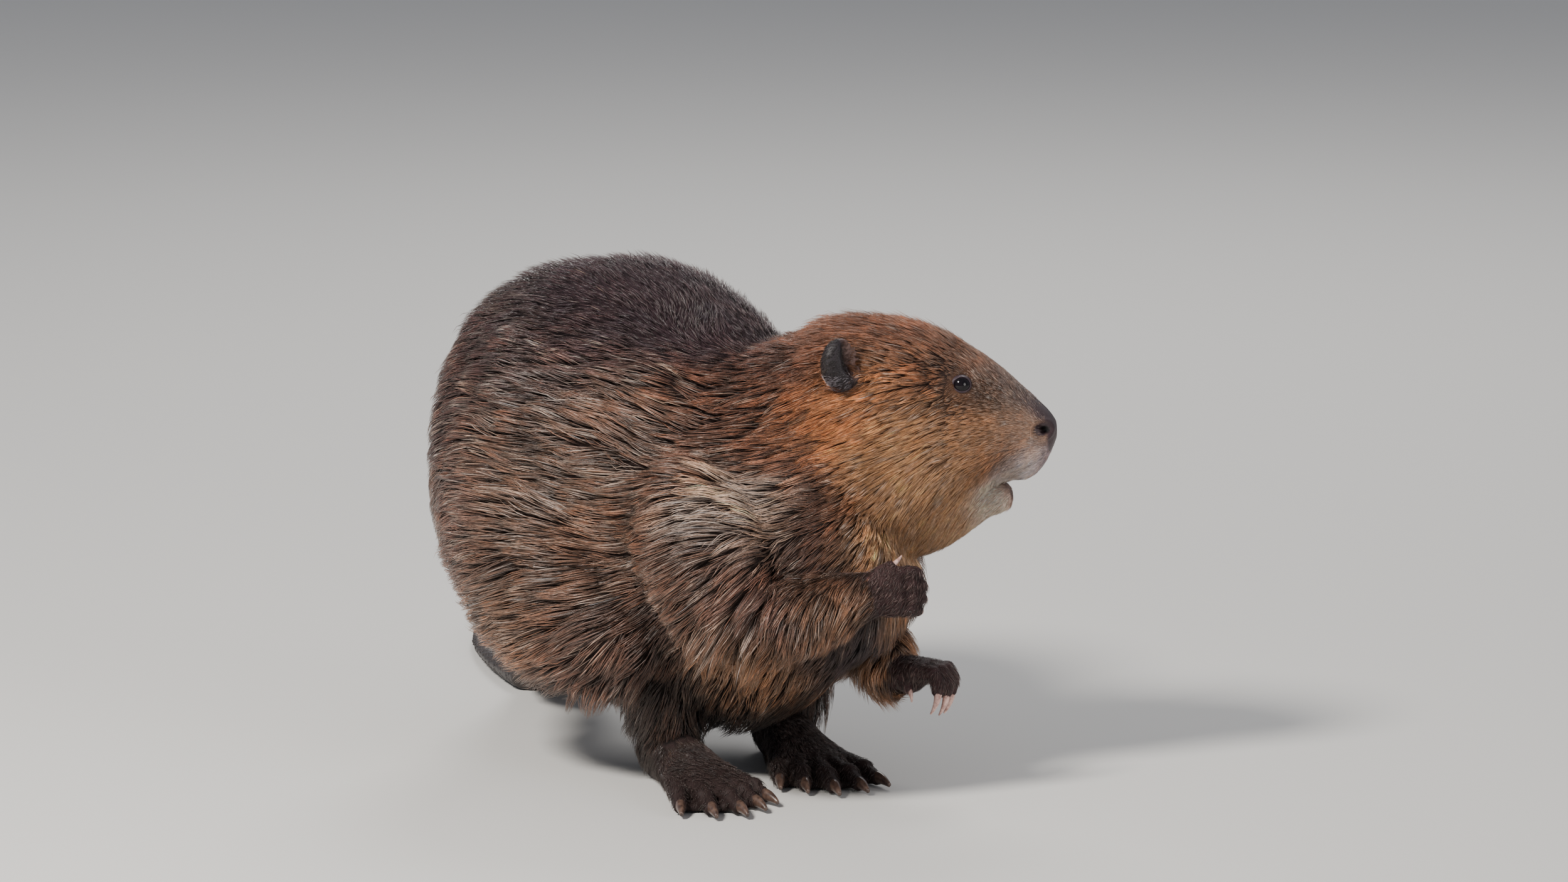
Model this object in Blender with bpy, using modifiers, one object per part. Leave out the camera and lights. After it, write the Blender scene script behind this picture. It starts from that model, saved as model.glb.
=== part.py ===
"""Beaver, life size, standing on its hind feet with the fore paws lifted and the head
turned to its left.  Metres, +Z up, +X along the trunk, +Y the animal's left.

The outer form (out to the tips of the coat) is built from lofted sections of trunk,
neck, head and limbs, fused with a voxel remesh, and then parted with thin cuts into
the named parts.  Sizes below are centimetres and become metres in cm().
"""

import math

import bmesh
import bpy
import numpy as np
from mathutils import Matrix, Vector

# ---------------------------------------------------------------- driving sizes (cm)
GAP = 0.035               # clear gap left by every parting cut
HEAD_YAW = 45.0           # the head is turned this far to the left of the trunk
HEAD_PLANE = 4.17         # distance of the head's mid plane from the trunk's origin
EYE_R = 0.62              # eyeball radius
EYE_S, EYE_Z, EYE_W = 15.85, 26.0, 3.50    # along the head, height, out from mid plane
EAR_S, EAR_Z, EAR_W = 8.25, 27.5, 4.75
FAR_EAR_DROP = 0.4        # the left ear is held a little lower
TAIL_LENGTH, TAIL_WIDTH, TAIL_THICK = 26.0, 11.5, 1.9
TAIL_SWING = 45.0         # the paddle lies swung to the left of straight back
FLESH_VOXEL = 0.42        # remesh cell of the fused body
PAW_VOXEL = 0.17

# Trunk sections: x, y, yaw, height of widest point, half width, rise, drop, squareness
TRUNK = (
    (-19.8, 0.0, 0, 18.2, 2.4, 2.6, 2.6, 2.0),
    (-19.1, 0.0, 0, 18.1, 5.2, 6.0, 5.4, 2.05),
    (-18.0, 0.0, 0, 18.0, 7.2, 9.0, 7.4, 2.1),
    (-16.8, 0.0, 0, 17.8, 8.8, 11.3, 8.7, 2.2),
    (-15.0, 0.0, 0, 17.5, 10.5, 13.3, 9.2, 2.3),
    (-12.0, 0.0, 0, 17.1, 12.3, 14.9, 10.4, 2.3),
    (-8.0, 0.0, 0, 16.8, 13.0, 15.7, 12.4, 2.25),
    (-4.0, 0.0, 0, 16.8, 12.2, 15.3, 14.0, 2.1),
    (0.0, 0.0, 4, 16.8, 10.9, 14.1, 14.4, 2.0),
    (3.6, 0.0, 8, 16.8, 9.9, 12.3, 14.2, 2.0),
    (7.2, 0.3, 12, 16.4, 9.0, 10.2, 12.2, 2.05),
    (10.2, 0.9, 16, 15.4, 8.0, 8.0, 9.2, 2.05),
    (12.6, 1.6, 18, 14.2, 6.3, 5.6, 6.0, 2.0),
    (14.2, 2.2, 20, 13.2, 4.2, 3.4, 3.8, 2.0),
    (14.9, 2.5, 20, 12.9, 2.0, 1.6, 1.5, 2.0),
)
# Head sections: distance along the head, top, bottom, height of widest, half width, squareness
HEAD = (
    (2.6, 28.3, 14.6, 20.8, 6.9, 2.1),
    (4.6, 28.9, 14.2, 20.8, 6.8, 2.1),
    (6.8, 29.6, 13.9, 20.6, 6.6, 2.15),
    (8.8, 30.0, 13.7, 20.4, 6.5, 2.2),
    (10.8, 30.0, 13.7, 20.4, 6.3, 2.2),
    (12.8, 29.7, 14.2, 20.7, 5.9, 2.2),
    (14.8, 29.0, 15.2, 21.2, 5.1, 2.2),
    (16.2, 28.3, 16.8, 21.8, 4.45, 2.2),
    (17.6, 27.35, 18.9, 22.1, 3.85, 2.25),
    (18.9, 26.3, 19.35, 22.2, 3.45, 2.35),
    (19.9, 25.3, 19.3, 22.2, 3.15, 2.4),
    (20.8, 24.5, 19.9, 22.2, 2.7, 2.4),
    (21.5, 23.8, 20.95, 22.3, 2.05, 2.3),
    (22.0, 23.1, 22.05, 22.55, 1.0, 2.0),
)
JAW = (
    (8.8, 20.0, 14.2, 17.0, 4.6, 2.1),
    (12.0, 20.0, 13.9, 17.0, 4.5, 2.1),
    (14.6, 20.0, 14.7, 17.4, 3.7, 2.1),
    (16.4, 19.5, 15.85, 17.8, 2.9, 2.1),
    (17.8, 19.2, 16.95, 18.1, 2.25, 2.1),
    (18.8, 19.2, 17.4, 18.3, 1.8, 2.1),
    (19.25, 18.85, 17.7, 18.3, 1.0, 2.0),
)
# Neck sections: x, y, yaw, height of widest, half width, rise, drop, squareness
NECK = (
    (-1.0, 0.0, 8, 18.6, 7.0, 8.6, 5.0, 2.0),
    (2.6, 0.2, 18, 19.2, 7.9, 8.9, 6.0, 2.0),
    (5.4, 0.9, 30, 19.8, 7.9, 9.0, 6.6, 2.05),
    (8.0, 2.4, 40, 20.2, 7.1, 9.2, 6.6, 2.1),
    (10.4, 4.6, 45, 20.4, 6.4, 9.5, 6.5, 2.1),
)
# Limb paths: x, y, z, half width across the path, half depth up and down the path
RIGHT_THIGH = (
    (-11.6, -5.6, 15.6, 4.6, 4.4), (-9.0, -7.0, 15.0, 6.0, 6.8), (-5.0, -7.6, 12.9, 6.2, 7.7),
    (-1.0, -7.4, 10.6, 5.5, 6.6), (2.0, -6.9, 8.8, 4.2, 4.5), (3.4, -6.6, 8.0, 2.2, 2.4),
)
LEFT_THIGH = (
    (-11.6, 5.6, 15.6, 4.6, 4.4), (-9.0, 7.0, 15.0, 6.0, 6.8), (-5.0, 7.4, 12.9, 6.1, 7.6),
    (-1.5, 7.0, 10.6, 5.4, 6.5), (1.5, 6.6, 8.8, 4.0, 4.5), (2.9, 6.4, 8.0, 2.2, 2.4),
)
RIGHT_SHANK = (
    (1.6, -5.6, 8.6, 2.8, 3.0), (1.1, -4.9, 5.8, 2.9, 3.0), (0.4, -4.3, 3.7, 2.7, 2.8), (-0.3, -3.9, 2.4, 2.1, 2.1),
)
LEFT_SHANK = (
    (1.8, 6.4, 8.6, 2.8, 3.0), (1.3, 6.4, 5.8, 2.9, 3.0), (0.7, 6.4, 3.7, 2.7, 2.8), (0.1, 6.3, 2.4, 2.1, 2.1),
)
RIGHT_UPPER_ARM = (
    (3.4, -4.6, 19.5, 4.4, 4.6), (6.2, -6.6, 17.2, 4.9, 5.2), (9.0, -8.2, 14.4, 4.5, 4.8),
    (11.2, -8.6, 12.0, 3.5, 3.8), (12.2, -8.6, 10.9, 2.2, 2.3),
)
RIGHT_FOREARM = (
    (10.4, -8.8, 11.6, 2.9, 3.1), (12.6, -7.2, 11.9, 2.75, 2.9), (14.8, -4.3, 12.8, 2.1, 2.3), (16.6, -1.7, 13.8, 1.35, 1.55),
)
LEFT_UPPER_ARM = (
    (4.6, 5.4, 17.0, 3.9, 4.2), (6.2, 7.2, 13.8, 3.8, 4.2), (7.0, 8.0, 10.8, 3.2, 3.5), (7.4, 8.1, 9.2, 2.3, 2.4),
)
LEFT_FOREARM = (
    (6.2, 7.8, 9.3, 2.6, 2.8), (8.6, 6.7, 8.3, 2.45, 2.7), (11.0, 5.2, 7.4, 2.0, 2.2), (13.0, 4.1, 7.2, 1.35, 1.5),
)
TAIL_ROOT = (
    (-13.4, 1.4, 13.0, 6.0, 5.9), (-16.6, 3.0, 9.9, 5.2, 4.8), (-19.6, 5.6, 6.0, 4.3, 3.9),
    (-22.4, 8.3, 3.2, 3.3, 2.5), (-25.2, 11.0, 1.6, 2.9, 1.3),
)

COLOURS = {
    "coat": ((0.145, 0.075, 0.040, 1), 0.80), "head_coat": ((0.27, 0.13, 0.055, 1), 0.80),
    "dark_skin": ((0.050, 0.028, 0.022, 1), 0.55), "nose": ((0.030, 0.022, 0.024, 1), 0.45),
    "eye": ((0.006, 0.005, 0.006, 1), 0.06), "claw": ((0.36, 0.20, 0.16, 1), 0.38),
    "tail": ((0.055, 0.045, 0.040, 1), 0.50), "ear": ((0.025, 0.018, 0.020, 1), 0.75),
}


# ---------------------------------------------------------------- scene and helpers
def clear():
    for obj in list(bpy.data.objects):
        bpy.data.objects.remove(obj)


clear()
PARTS = bpy.data.collections.new("beaver")
CUTTERS = bpy.data.collections.new("cutters")
for group in (PARTS, CUTTERS):
    bpy.context.scene.collection.children.link(group)


def cm(values):
    return Vector([0.01 * float(v) for v in values])


def unit(values):
    return Vector(values).normalized()


def head_point(s, w, z):
    """Head coordinates (along, out to the right of the mid plane, up) to the trunk's, in cm."""
    a = math.radians(HEAD_YAW)
    across = HEAD_PLANE + w
    return Vector((s * math.cos(a) + across * math.sin(a), s * math.sin(a) - across * math.cos(a), z))


def smooth_table(rows, count):
    """Rows resampled at even distances along their centres, on cubic Hermite pieces."""
    rows = np.array(rows, float)
    step = np.linalg.norm(np.diff(rows[:, :3], axis=0), axis=1)
    at = np.concatenate([[0.0], np.cumsum(np.maximum(step, 1e-6))])
    slope = np.gradient(rows, at, axis=0)
    out = []
    for t in np.linspace(0.0, at[-1], count):
        i = min(int(np.searchsorted(at, t, side="right")) - 1, len(at) - 2)
        h = at[i + 1] - at[i]
        u = (t - at[i]) / h
        out.append(
            (2 * u**3 - 3 * u**2 + 1) * rows[i] + (u**3 - 2 * u**2 + u) * h * slope[i]
            + (-2 * u**3 + 3 * u**2) * rows[i + 1] + (u**3 - u**2) * h * slope[i + 1]
        )
    return np.array(out)


def ring_points(centre, side, up, a, rise, drop, square, segments):
    points = []
    for k in range(segments):
        th = 2 * math.pi * (k + 0.5) / segments
        c, s = math.cos(th), math.sin(th)
        x = a * math.copysign(abs(c) ** (2 / square), c)
        z = (rise if s > 0 else drop) * math.copysign(abs(s) ** (2 / square), s)
        points.append(centre + side * x + up * z)
    return points


def skin_rings(name, rings, group=CUTTERS):
    """A closed mesh lofted over the rings, with flat ends."""
    bm = bmesh.new()
    loops = [[bm.verts.new(cm(p)) for p in ring] for ring in rings]
    n = len(loops[0])
    for one, two in zip(loops, loops[1:]):
        for k in range(n):
            bm.faces.new((one[k], one[(k + 1) % n], two[(k + 1) % n], two[k]))
    bm.faces.new(list(reversed(loops[0])))
    bm.faces.new(loops[-1])
    bmesh.ops.recalc_face_normals(bm, faces=bm.faces)
    if bm.calc_volume(signed=True) < 0:
        bmesh.ops.reverse_faces(bm, faces=bm.faces)
    return from_bmesh(name, bm, group)


def from_bmesh(name, bm, group=CUTTERS):
    mesh = bpy.data.meshes.new(name)
    bm.to_mesh(mesh)
    bm.free()
    obj = bpy.data.objects.new(name, mesh)
    group.objects.link(obj)
    if group is CUTTERS:
        obj.hide_render = True
        obj.display_type = "WIRE"
    return obj


def body_loft(name, rows, grow=0.0, count=22, segments=24, ends=(0.0, 0.0)):
    """Rows of x, y, yaw, height, half width, rise, drop, squareness."""
    rows = [(x, y, z, yaw, a, up, down, n) for x, y, yaw, z, a, up, down, n in rows]
    rings = []
    table = smooth_table(rows, count)
    for i, (x, y, z, yaw, a, up, down, n) in enumerate(table):
        t = math.radians(yaw)
        shift = -ends[0] if i == 0 else ends[1] if i == count - 1 else 0.0
        centre = Vector((x + shift * math.cos(t), y + shift * math.sin(t), z))
        side = Vector((-math.sin(t), math.cos(t), 0))
        rings.append(ring_points(centre, side, Vector((0, 0, 1)), a + grow, up + grow, down + grow, n, segments))
    return skin_rings(name, rings)


def head_loft(name, rows, grow=0.0, count=24, segments=24, ends=(0.0, 0.0)):
    """Rows of distance along the head, top, bottom, height of widest, half width, squareness."""
    side = head_point(0, 1, 0) - head_point(0, 0, 0)
    table = smooth_table([(s, 0, z, a, top - z, z - low, n) for s, top, low, z, a, n in rows], count)
    rings = []
    for i, (s, _, z, a, up, down, n) in enumerate(table):
        shift = -ends[0] if i == 0 else ends[1] if i == count - 1 else 0.0
        rings.append(ring_points(head_point(s + shift, 0, z), side, Vector((0, 0, 1)), a + grow, up + grow, down + grow, n, segments))
    return skin_rings(name, rings)


def limb_loft(name, rows, grow=0.0, count=10, segments=16, lift=(0, 0, 1), ends=(0.0, 0.0), square=2.0, dome=False):
    """Rows of x, y, z, half width, half depth; sections stand across the path.  A dome rounds both ends."""
    table = smooth_table(rows, count)
    centres = [Vector(r[:3]) for r in table]
    rings = []
    for i, (centre, row) in enumerate(zip(centres, table)):
        ahead = centres[min(i + 1, count - 1)] - centres[max(i - 1, 0)]
        ahead.normalize()
        side = Vector(lift).cross(ahead)
        side.normalize()
        up = ahead.cross(side)
        shift = -ends[0] if i == 0 else ends[1] if i == count - 1 else 0.0
        a, b = row[3] + grow, row[4] + grow
        if dome and i in (0, count - 1):
            caps = [ring_points(centre + ahead * ((1 if i else -1) * 0.5 * (a + b) * h), side, up, a * w, b * w, b * w, square, segments) for h, w in ((0.0, 1.0), (0.5, 0.84), (0.86, 0.45))]
            rings.extend(caps if i else reversed(caps))
            continue
        rings.append(ring_points(centre + ahead * shift, side, up, a, b, b, square, segments))
    return skin_rings(name, rings)


def ball(name, centre, radii, axes=None, segments=20, rings=12, grow=0.0):
    """An ellipsoid with its own axes (columns), in cm."""
    bm = bmesh.new()
    bmesh.ops.create_uvsphere(bm, u_segments=segments, v_segments=rings, radius=1.0)
    axes = axes or (Vector((1, 0, 0)), Vector((0, 1, 0)), Vector((0, 0, 1)))
    for v in bm.verts:
        p = Vector(centre)
        for k in range(3):
            p = p + axes[k] * (v.co[k] * (radii[k] + grow))
        v.co = cm(p)
    if bm.calc_volume(signed=True) < 0:
        bmesh.ops.reverse_faces(bm, faces=bm.faces)
    return from_bmesh(name, bm)


def block(name, point, normal, size=120.0, about=(0, 0, 1), width=None, tall=None):
    """A box whose base lies on the plane through point, on the side that normal shows."""
    normal = unit(normal)
    side = Vector(about).cross(normal)
    side = side.normalized() if side.length > 1e-6 else Vector((1, 0, 0))
    up = normal.cross(side)
    bm = bmesh.new()
    bmesh.ops.create_cube(bm, size=1.0)
    for v in bm.verts:
        p = Vector(point) + side * (v.co.x * (width or size)) + up * (v.co.y * (tall or size)) + normal * ((v.co.z + 0.5) * size)
        v.co = cm(p)
    if bm.calc_volume(signed=True) < 0:
        bmesh.ops.reverse_faces(bm, faces=bm.faces)
    return from_bmesh(name, bm)


def prism(name, outline, origin, along, grow=0.0, sides=(-24.0, 24.0)):
    """A convex outline in the upright plane of along, made a slab; its edges move out by grow."""
    n = len(outline)
    area = sum(outline[i][0] * outline[(i + 1) % n][1] - outline[(i + 1) % n][0] * outline[i][1] for i in range(n))
    lines = []
    for i in range(n):
        (x0, z0), (x1, z1) = outline[i], outline[(i + 1) % n]
        length = math.hypot(x1 - x0, z1 - z0)
        nx, nz = (z1 - z0) / length, -(x1 - x0) / length
        if area < 0:
            nx, nz = -nx, -nz
        lines.append((nx, nz, nx * x0 + nz * z0 + grow))
    corners = []
    for i in range(n):
        (a, b, c), (d, e, f) = lines[i - 1], lines[i]
        det = a * e - b * d
        corners.append(((c * e - b * f) / det, (a * f - c * d) / det))
    along = unit((along[0], along[1], 0))
    side = Vector((-along.y, along.x, 0))
    origin = Vector(origin)
    rings = [[origin + along * x + side * w + Vector((0, 0, z)) for x, z in corners] for w in (sides[0] - grow, sides[1] + grow)]
    return skin_rings(name, rings)


def pod(name, rows, grow=0.0):
    """The convex hull of balls set on a limb's stations, as a cutter."""
    bm = bmesh.new()
    for x, y, z, a, b in rows:
        ico = bmesh.ops.create_icosphere(bm, subdivisions=2, radius=(max(a, b) + grow) * 0.01)
        for v in ico["verts"]:
            v.co = v.co * 1.03 + cm((x, y, z))
    hull = bmesh.ops.convex_hull(bm, input=bm.verts)
    inside = [g for g in hull["geom_interior"] + hull["geom_unused"] if isinstance(g, bmesh.types.BMVert)]
    bmesh.ops.delete(bm, geom=list(set(inside)), context="VERTS")
    keep = {g for g in hull["geom"] if isinstance(g, bmesh.types.BMFace)}
    bmesh.ops.delete(bm, geom=[f for f in bm.faces if f not in keep], context="FACES")
    bmesh.ops.delete(bm, geom=[v for v in bm.verts if not v.link_faces], context="VERTS")
    bmesh.ops.recalc_face_normals(bm, faces=bm.faces)
    if bm.calc_volume(signed=True) < 0:
        bmesh.ops.reverse_faces(bm, faces=bm.faces)
    return from_bmesh(name, bm)


def evaluated(obj):
    graph = bpy.context.evaluated_depsgraph_get()
    graph.update()
    return bpy.data.meshes.new_from_object(obj.evaluated_get(graph))


def replace_mesh(obj, mesh):
    old = obj.data
    obj.modifiers.clear()
    obj.data = mesh
    if not old.users:
        bpy.data.meshes.remove(old)
    return obj


def apply_all(obj):
    return replace_mesh(obj, evaluated(obj))


def drop(*objs):
    for obj in objs:
        bpy.data.objects.remove(obj)


def fuse(name, pieces, voxel, smooth=6, factor=0.5):
    """One closed surface round overlapping solids."""
    bm = bmesh.new()
    for piece in pieces:
        bm.from_mesh(piece.data)
    drop(*pieces)
    obj = from_bmesh(name, bm)
    remesh = obj.modifiers.new("remesh", "REMESH")
    remesh.mode = "VOXEL"
    remesh.voxel_size = voxel * 0.01
    remesh.adaptivity = 0.0
    if smooth:
        ease = obj.modifiers.new("smooth", "SMOOTH")
        ease.factor = factor
        ease.iterations = smooth
    return apply_all(obj)


def decimate(obj, triangles):
    mesh = obj.data
    mesh.calc_loop_triangles()
    now = len(mesh.loop_triangles)
    if now > triangles:
        fewer = obj.modifiers.new("decimate", "DECIMATE")
        fewer.ratio = triangles / now
        apply_all(obj)
    return obj


def combine(obj, other, operation, own=False):
    boolean = obj.modifiers.new("boolean", "BOOLEAN")
    boolean.use_self = own
    boolean.operation = operation
    boolean.solver = "EXACT"
    boolean.object = other
    return apply_all(obj)


def copy_of(obj, name):
    twin = bpy.data.objects.new(name, obj.data.copy())
    CUTTERS.objects.link(twin)
    twin.hide_render = True
    twin.display_type = "WIRE"
    return twin


def islands_of(bm):
    """The separate bodies of a mesh, each a list of faces joined by edges, biggest first."""
    seen, islands = set(), []
    for start in bm.faces:
        if start in seen:
            continue
        stack, island = [start], []
        seen.add(start)
        while stack:
            f = stack.pop()
            island.append(f)
            for e in f.edges:
                for o in e.link_faces:
                    if o not in seen:
                        seen.add(o)
                        stack.append(o)
        islands.append(island)
    return sorted(islands, key=len, reverse=True)


def only_biggest(bm):
    loose = [f for island in islands_of(bm)[1:] for f in island]
    if loose:
        bmesh.ops.delete(bm, geom=loose, context="FACES")
    bmesh.ops.delete(bm, geom=[v for v in bm.verts if not v.link_faces], context="VERTS")


def biggest_island(obj, flat=0.0):
    """Drops the crumbs that a cut leaves beside the piece itself, and tidies what is left.
    With flat, what lies in one plane within that many degrees is merged first."""
    bm = bmesh.new()
    bm.from_mesh(obj.data)
    only_biggest(bm)
    bm.to_mesh(obj.data)
    for merge, way in ((True, "BEAUTY"), (True, "EAR_CLIP"), (False, "BEAUTY"), (False, "EAR_CLIP")):
        one = bm.copy()
        if flat and merge:
            bmesh.ops.dissolve_limit(one, angle_limit=math.radians(flat), verts=one.verts, edges=one.edges)
        if merge:
            bmesh.ops.remove_doubles(one, verts=one.verts, dist=2e-6)
            bmesh.ops.dissolve_degenerate(one, edges=one.edges, dist=2e-6)
        bmesh.ops.triangulate(one, faces=one.faces, ngon_method=way)
        only_biggest(one)
        closed = all(len(e.link_faces) == 2 for e in one.edges)
        if closed:
            one.to_mesh(obj.data)
        one.free()
        if closed:
            break
    bm.free()
    return obj


def take(flesh, name, cutter, wider):
    """Cuts the named piece out of the flesh with one cutter, and clears the gap round it with another."""
    piece = combine(copy_of(flesh, name), cutter, "INTERSECT", own=True)
    combine(flesh, wider, "DIFFERENCE", own=True)
    drop(cutter, wider)
    biggest_island(flesh)
    return publish(biggest_island(piece), name)


def publish(obj, name, colour="coat"):
    """Moves a finished solid to the parts, with its name and material."""
    CUTTERS.objects.unlink(obj)
    PARTS.objects.link(obj)
    obj.hide_render = False
    obj.display_type = "TEXTURED"
    obj.name = name
    obj.data.name = name
    biggest_island(obj, flat=2.5)
    paint(obj, colour)
    return obj


def paint(obj, colour):
    rgba, rough = COLOURS[colour]
    material = bpy.data.materials.new(obj.name)
    material.use_nodes = True
    shader = material.node_tree.nodes["Principled BSDF"]
    shader.inputs["Base Color"].default_value = rgba
    shader.inputs["Roughness"].default_value = rough
    shader.inputs["Metallic"].default_value = 0.0
    obj.data.materials.clear()
    obj.data.materials.append(material)
    obj.data.shade_smooth()
    return obj


# ---------------------------------------------------------------- claws, paws and feet
def bend(f, d, t, angle, droop=0.0):
    """A direction turned from f towards the palm (-d) and then away from the thumb (-t)."""
    a, b = math.radians(angle), math.radians(droop)
    return (f * math.cos(a) - d * math.sin(a)) * math.cos(b) - t * math.sin(b)


def claw_rows(start, ahead, curl, length, r0, r1, turn=50.0, steps=4):
    """A claw that starts along ahead and turns towards curl."""
    rows, p = [], Vector(start)
    for k in range(steps):
        share = k / (steps - 1)
        rows.append((*p, r0 + (r1 - r0) * share**1.3, (r0 + (r1 - r0) * share**1.3) * 1.15))
        a = math.radians(turn * (k + 0.5) / (steps - 1))
        p = p + (ahead * math.cos(a) + curl * math.sin(a)) * (length / (steps - 1))
    return rows


def claw(name, start, ahead, curl, length, r0, r1=0.05, turn=50.0, lift=(0, 0, 1)):
    ahead, curl = unit(ahead), unit(curl)
    rows = claw_rows(start, ahead, curl, length, r0, r1, turn)
    solid = limb_loft(name, rows, count=3, segments=6, lift=lift)
    root = claw_rows(start, ahead, curl, length, r0, r1, turn)[:3]
    bed = limb_loft(name + "_bed", root, grow=GAP, count=3, segments=6, lift=lift, ends=(GAP, 0.0))
    return solid, bed


def fore_paw(side, wrist, f, d, t, angles, droop, thumb_angles, hand=2.35, straighter=0.0, spread=0.0, triangles=250):
    """A hand of five fingers: f runs from wrist to knuckles, d shows the back of it, t the thumb's side.

    hand is the length to the knuckles, and straighter how far the claws bend less than the last joints."""
    wrist, f = Vector(wrist), unit(f)
    t = unit(Vector(t) - f * f.dot(Vector(t)))
    d = unit(Vector(d) - f * f.dot(Vector(d)) - t * t.dot(Vector(d)))
    knuckle = wrist + f * hand
    palm = [
        (*(wrist - f * 0.5), 1.25, 1.05), (*(wrist + f * 0.5), 1.32, 1.0),
        (*(wrist + f * (hand - 0.75)), 1.62, 0.95), (*(wrist + f * (hand + 0.15)), 1.6, 0.72),
    ]
    pieces = [limb_loft("palm", palm, count=7, segments=16, lift=tuple(d), square=2.3)]
    pieces.append(ball("pad", wrist + f * 1.0 - d * 0.75 + t * 0.1, (0.9, 0.5, 0.9), axes=(f, d, t)))
    claws, beds = [], []
    for i in range(4):
        off = 1.17 - 0.78 * i
        fan = f + t * spread * off
        fan.normalize()
        reach = (0.93, 1.05, 1.03, 0.86)[i]
        thick = (0.43, 0.46, 0.46, 0.42)[i]
        p0 = knuckle - f * 0.45 + t * off
        points, radii = [p0], [thick * 1.08]
        p = p0
        for angle, length, r in zip(angles, (1.25, 0.85, 0.65), (thick * 1.05, thick, thick * 0.86)):
            ahead = bend(fan, d, t, angle, droop * (len(points) / 3))
            p = p + ahead * (length * reach)
            points.append(p)
            radii.append(r)
        rows = [(*q, r, r * 0.95) for q, r in zip(points, radii)]
        pieces.append(limb_loft(f"finger{i}", rows, count=9, segments=10, lift=tuple(t), ends=(0, 0.12)))
        last = angles[-1] - straighter
        tip_dir = bend(fan, d, t, last + 4, droop)
        start = points[-1] - tip_dir * 0.22 + bend(fan, d, t, last - 90, 0) * 0.10
        solid, bed = claw(f"{side}_fore_claw_{i + 2}", start, tip_dir, bend(fan, d, t, last + 90, 0), 1.65, 0.27, 0.06, 42, lift=tuple(t))
        claws.append(solid)
        beds.append(bed)
    base = wrist + f * 0.75 + t * 1.1
    ahead = bend(f, d, t, thumb_angles[0], thumb_angles[1])
    tip = base + ahead * 1.15
    pieces.append(limb_loft("thumb", [(*base, 0.48, 0.5), (*(base + ahead * 0.6), 0.42, 0.42), (*tip, 0.34, 0.34)], count=6, segments=10, lift=tuple(d), ends=(0, 0.12)))
    solid, bed = claw(f"{side}_fore_claw_1", tip - ahead * 0.15, ahead, bend(f, d, t, thumb_angles[0] + 80, thumb_angles[1]), 0.95, 0.20, 0.05, 40, lift=tuple(d))
    claws.append(solid)
    beds.append(bed)
    paw = fuse(f"{side}_fore_paw", pieces, PAW_VOXEL, smooth=3)
    decimate(paw, triangles)
    for bed in beds:
        combine(paw, bed, "DIFFERENCE")
    drop(*beds)
    wrist_cut = block("wrist_cut", wrist + f * (GAP / 2), tuple(-f), size=12)
    combine(paw, wrist_cut, "DIFFERENCE")
    drop(wrist_cut)
    publish(biggest_island(paw), f"{side}_fore_paw", "dark_skin")
    for solid in claws:
        publish(solid, solid.name, "claw")
    return wrist, f


def hind_foot(side, heel, yaw, triangles=250):
    """A long webbed foot, flat on the floor; yaw turns the toes from +X towards +Y."""
    a = math.radians(yaw)
    f, out = Vector((math.cos(a), math.sin(a), 0)), Vector((-math.sin(a), math.cos(a), 0))
    if side == "right":
        out = -out
    heel = Vector(heel)
    at = lambda along, across, z: heel + f * along + out * across + Vector((0, 0, z))
    sole = [
        (*at(-0.9, 0, 1.6), 1.0, 1.2), (*at(0.6, 0, 1.75), 1.55, 2.0), (*at(3.4, 0.0, 1.55), 1.65, 1.9),
        (*at(6.4, 0.1, 1.15), 2.1, 1.45), (*at(8.8, 0.2, 0.85), 2.6, 1.1), (*at(9.9, 0.2, 0.7), 2.5, 0.8),
    ]
    pieces = [limb_loft("sole", sole, count=12, segments=16)]
    claws, beds, tips = [], [], []
    for i in range(5):
        across = (-1.75, -0.85, 0.1, 1.05, 1.9)[i]
        turn = math.radians((-13, -6, 1, 9, 19)[i])
        length = (3.9, 5.0, 5.9, 5.9, 5.0)[i]
        thick = (0.50, 0.56, 0.64, 0.64, 0.58)[i]
        way = f * math.cos(turn) + out * math.sin(turn)
        base = at(8.2 - 0.25 * abs(i - 2), across, 0.80)
        rows = [
            (*base, thick, 0.78), (*(base + way * length * 0.35 + Vector((0, 0, 0.12))), thick, 0.70),
            (*(base + way * length * 0.7 - Vector((0, 0, 0.06))), thick * 0.9, 0.60), (*(base + way * length - Vector((0, 0, 0.28))), thick * 0.75, 0.44),
        ]
        pieces.append(limb_loft(f"toe{i}", rows, count=9, segments=10, ends=(0, 0.15)))
        tip = base + way * (length - 0.1)
        tip.z = 0.62
        tips.append((base, base + way * length * 0.9))
        solid, bed = claw(f"{side}_hind_claw_{i + 1}", tip, way, (0, 0, -1), 1.45, 0.36, 0.14, 24)
        claws.append(solid)
        beds.append(bed)
    for (b0, e0), (b1, e1) in zip(tips, tips[1:]):
        rows = []
        for k in range(5):
            u = k / 4
            left, right = b0.lerp(e0, u * 0.93), b1.lerp(e1, u * 0.93)
            mid = (left + right) / 2
            mid.z = 0.32
            rows.append((*mid, max((left - right).length / 2, 0.3), 0.22))
        pieces.append(limb_loft("web", rows, count=6, segments=8, square=3.0))
    foot = fuse(f"{side}_hind_foot", pieces, PAW_VOXEL, smooth=3)
    decimate(foot, triangles)
    for bed in beds:
        combine(foot, bed, "DIFFERENCE")
    drop(*beds)
    floor = block("floor", (0, 0, 0), (0, 0, -1), size=100)
    combine(foot, floor, "DIFFERENCE")
    for solid in claws:
        combine(solid, floor, "DIFFERENCE")
        biggest_island(solid)
    drop(floor)
    publish(biggest_island(foot), f"{side}_hind_foot", "dark_skin")
    for solid in claws:
        publish(solid, solid.name, "claw")
    return foot


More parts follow.
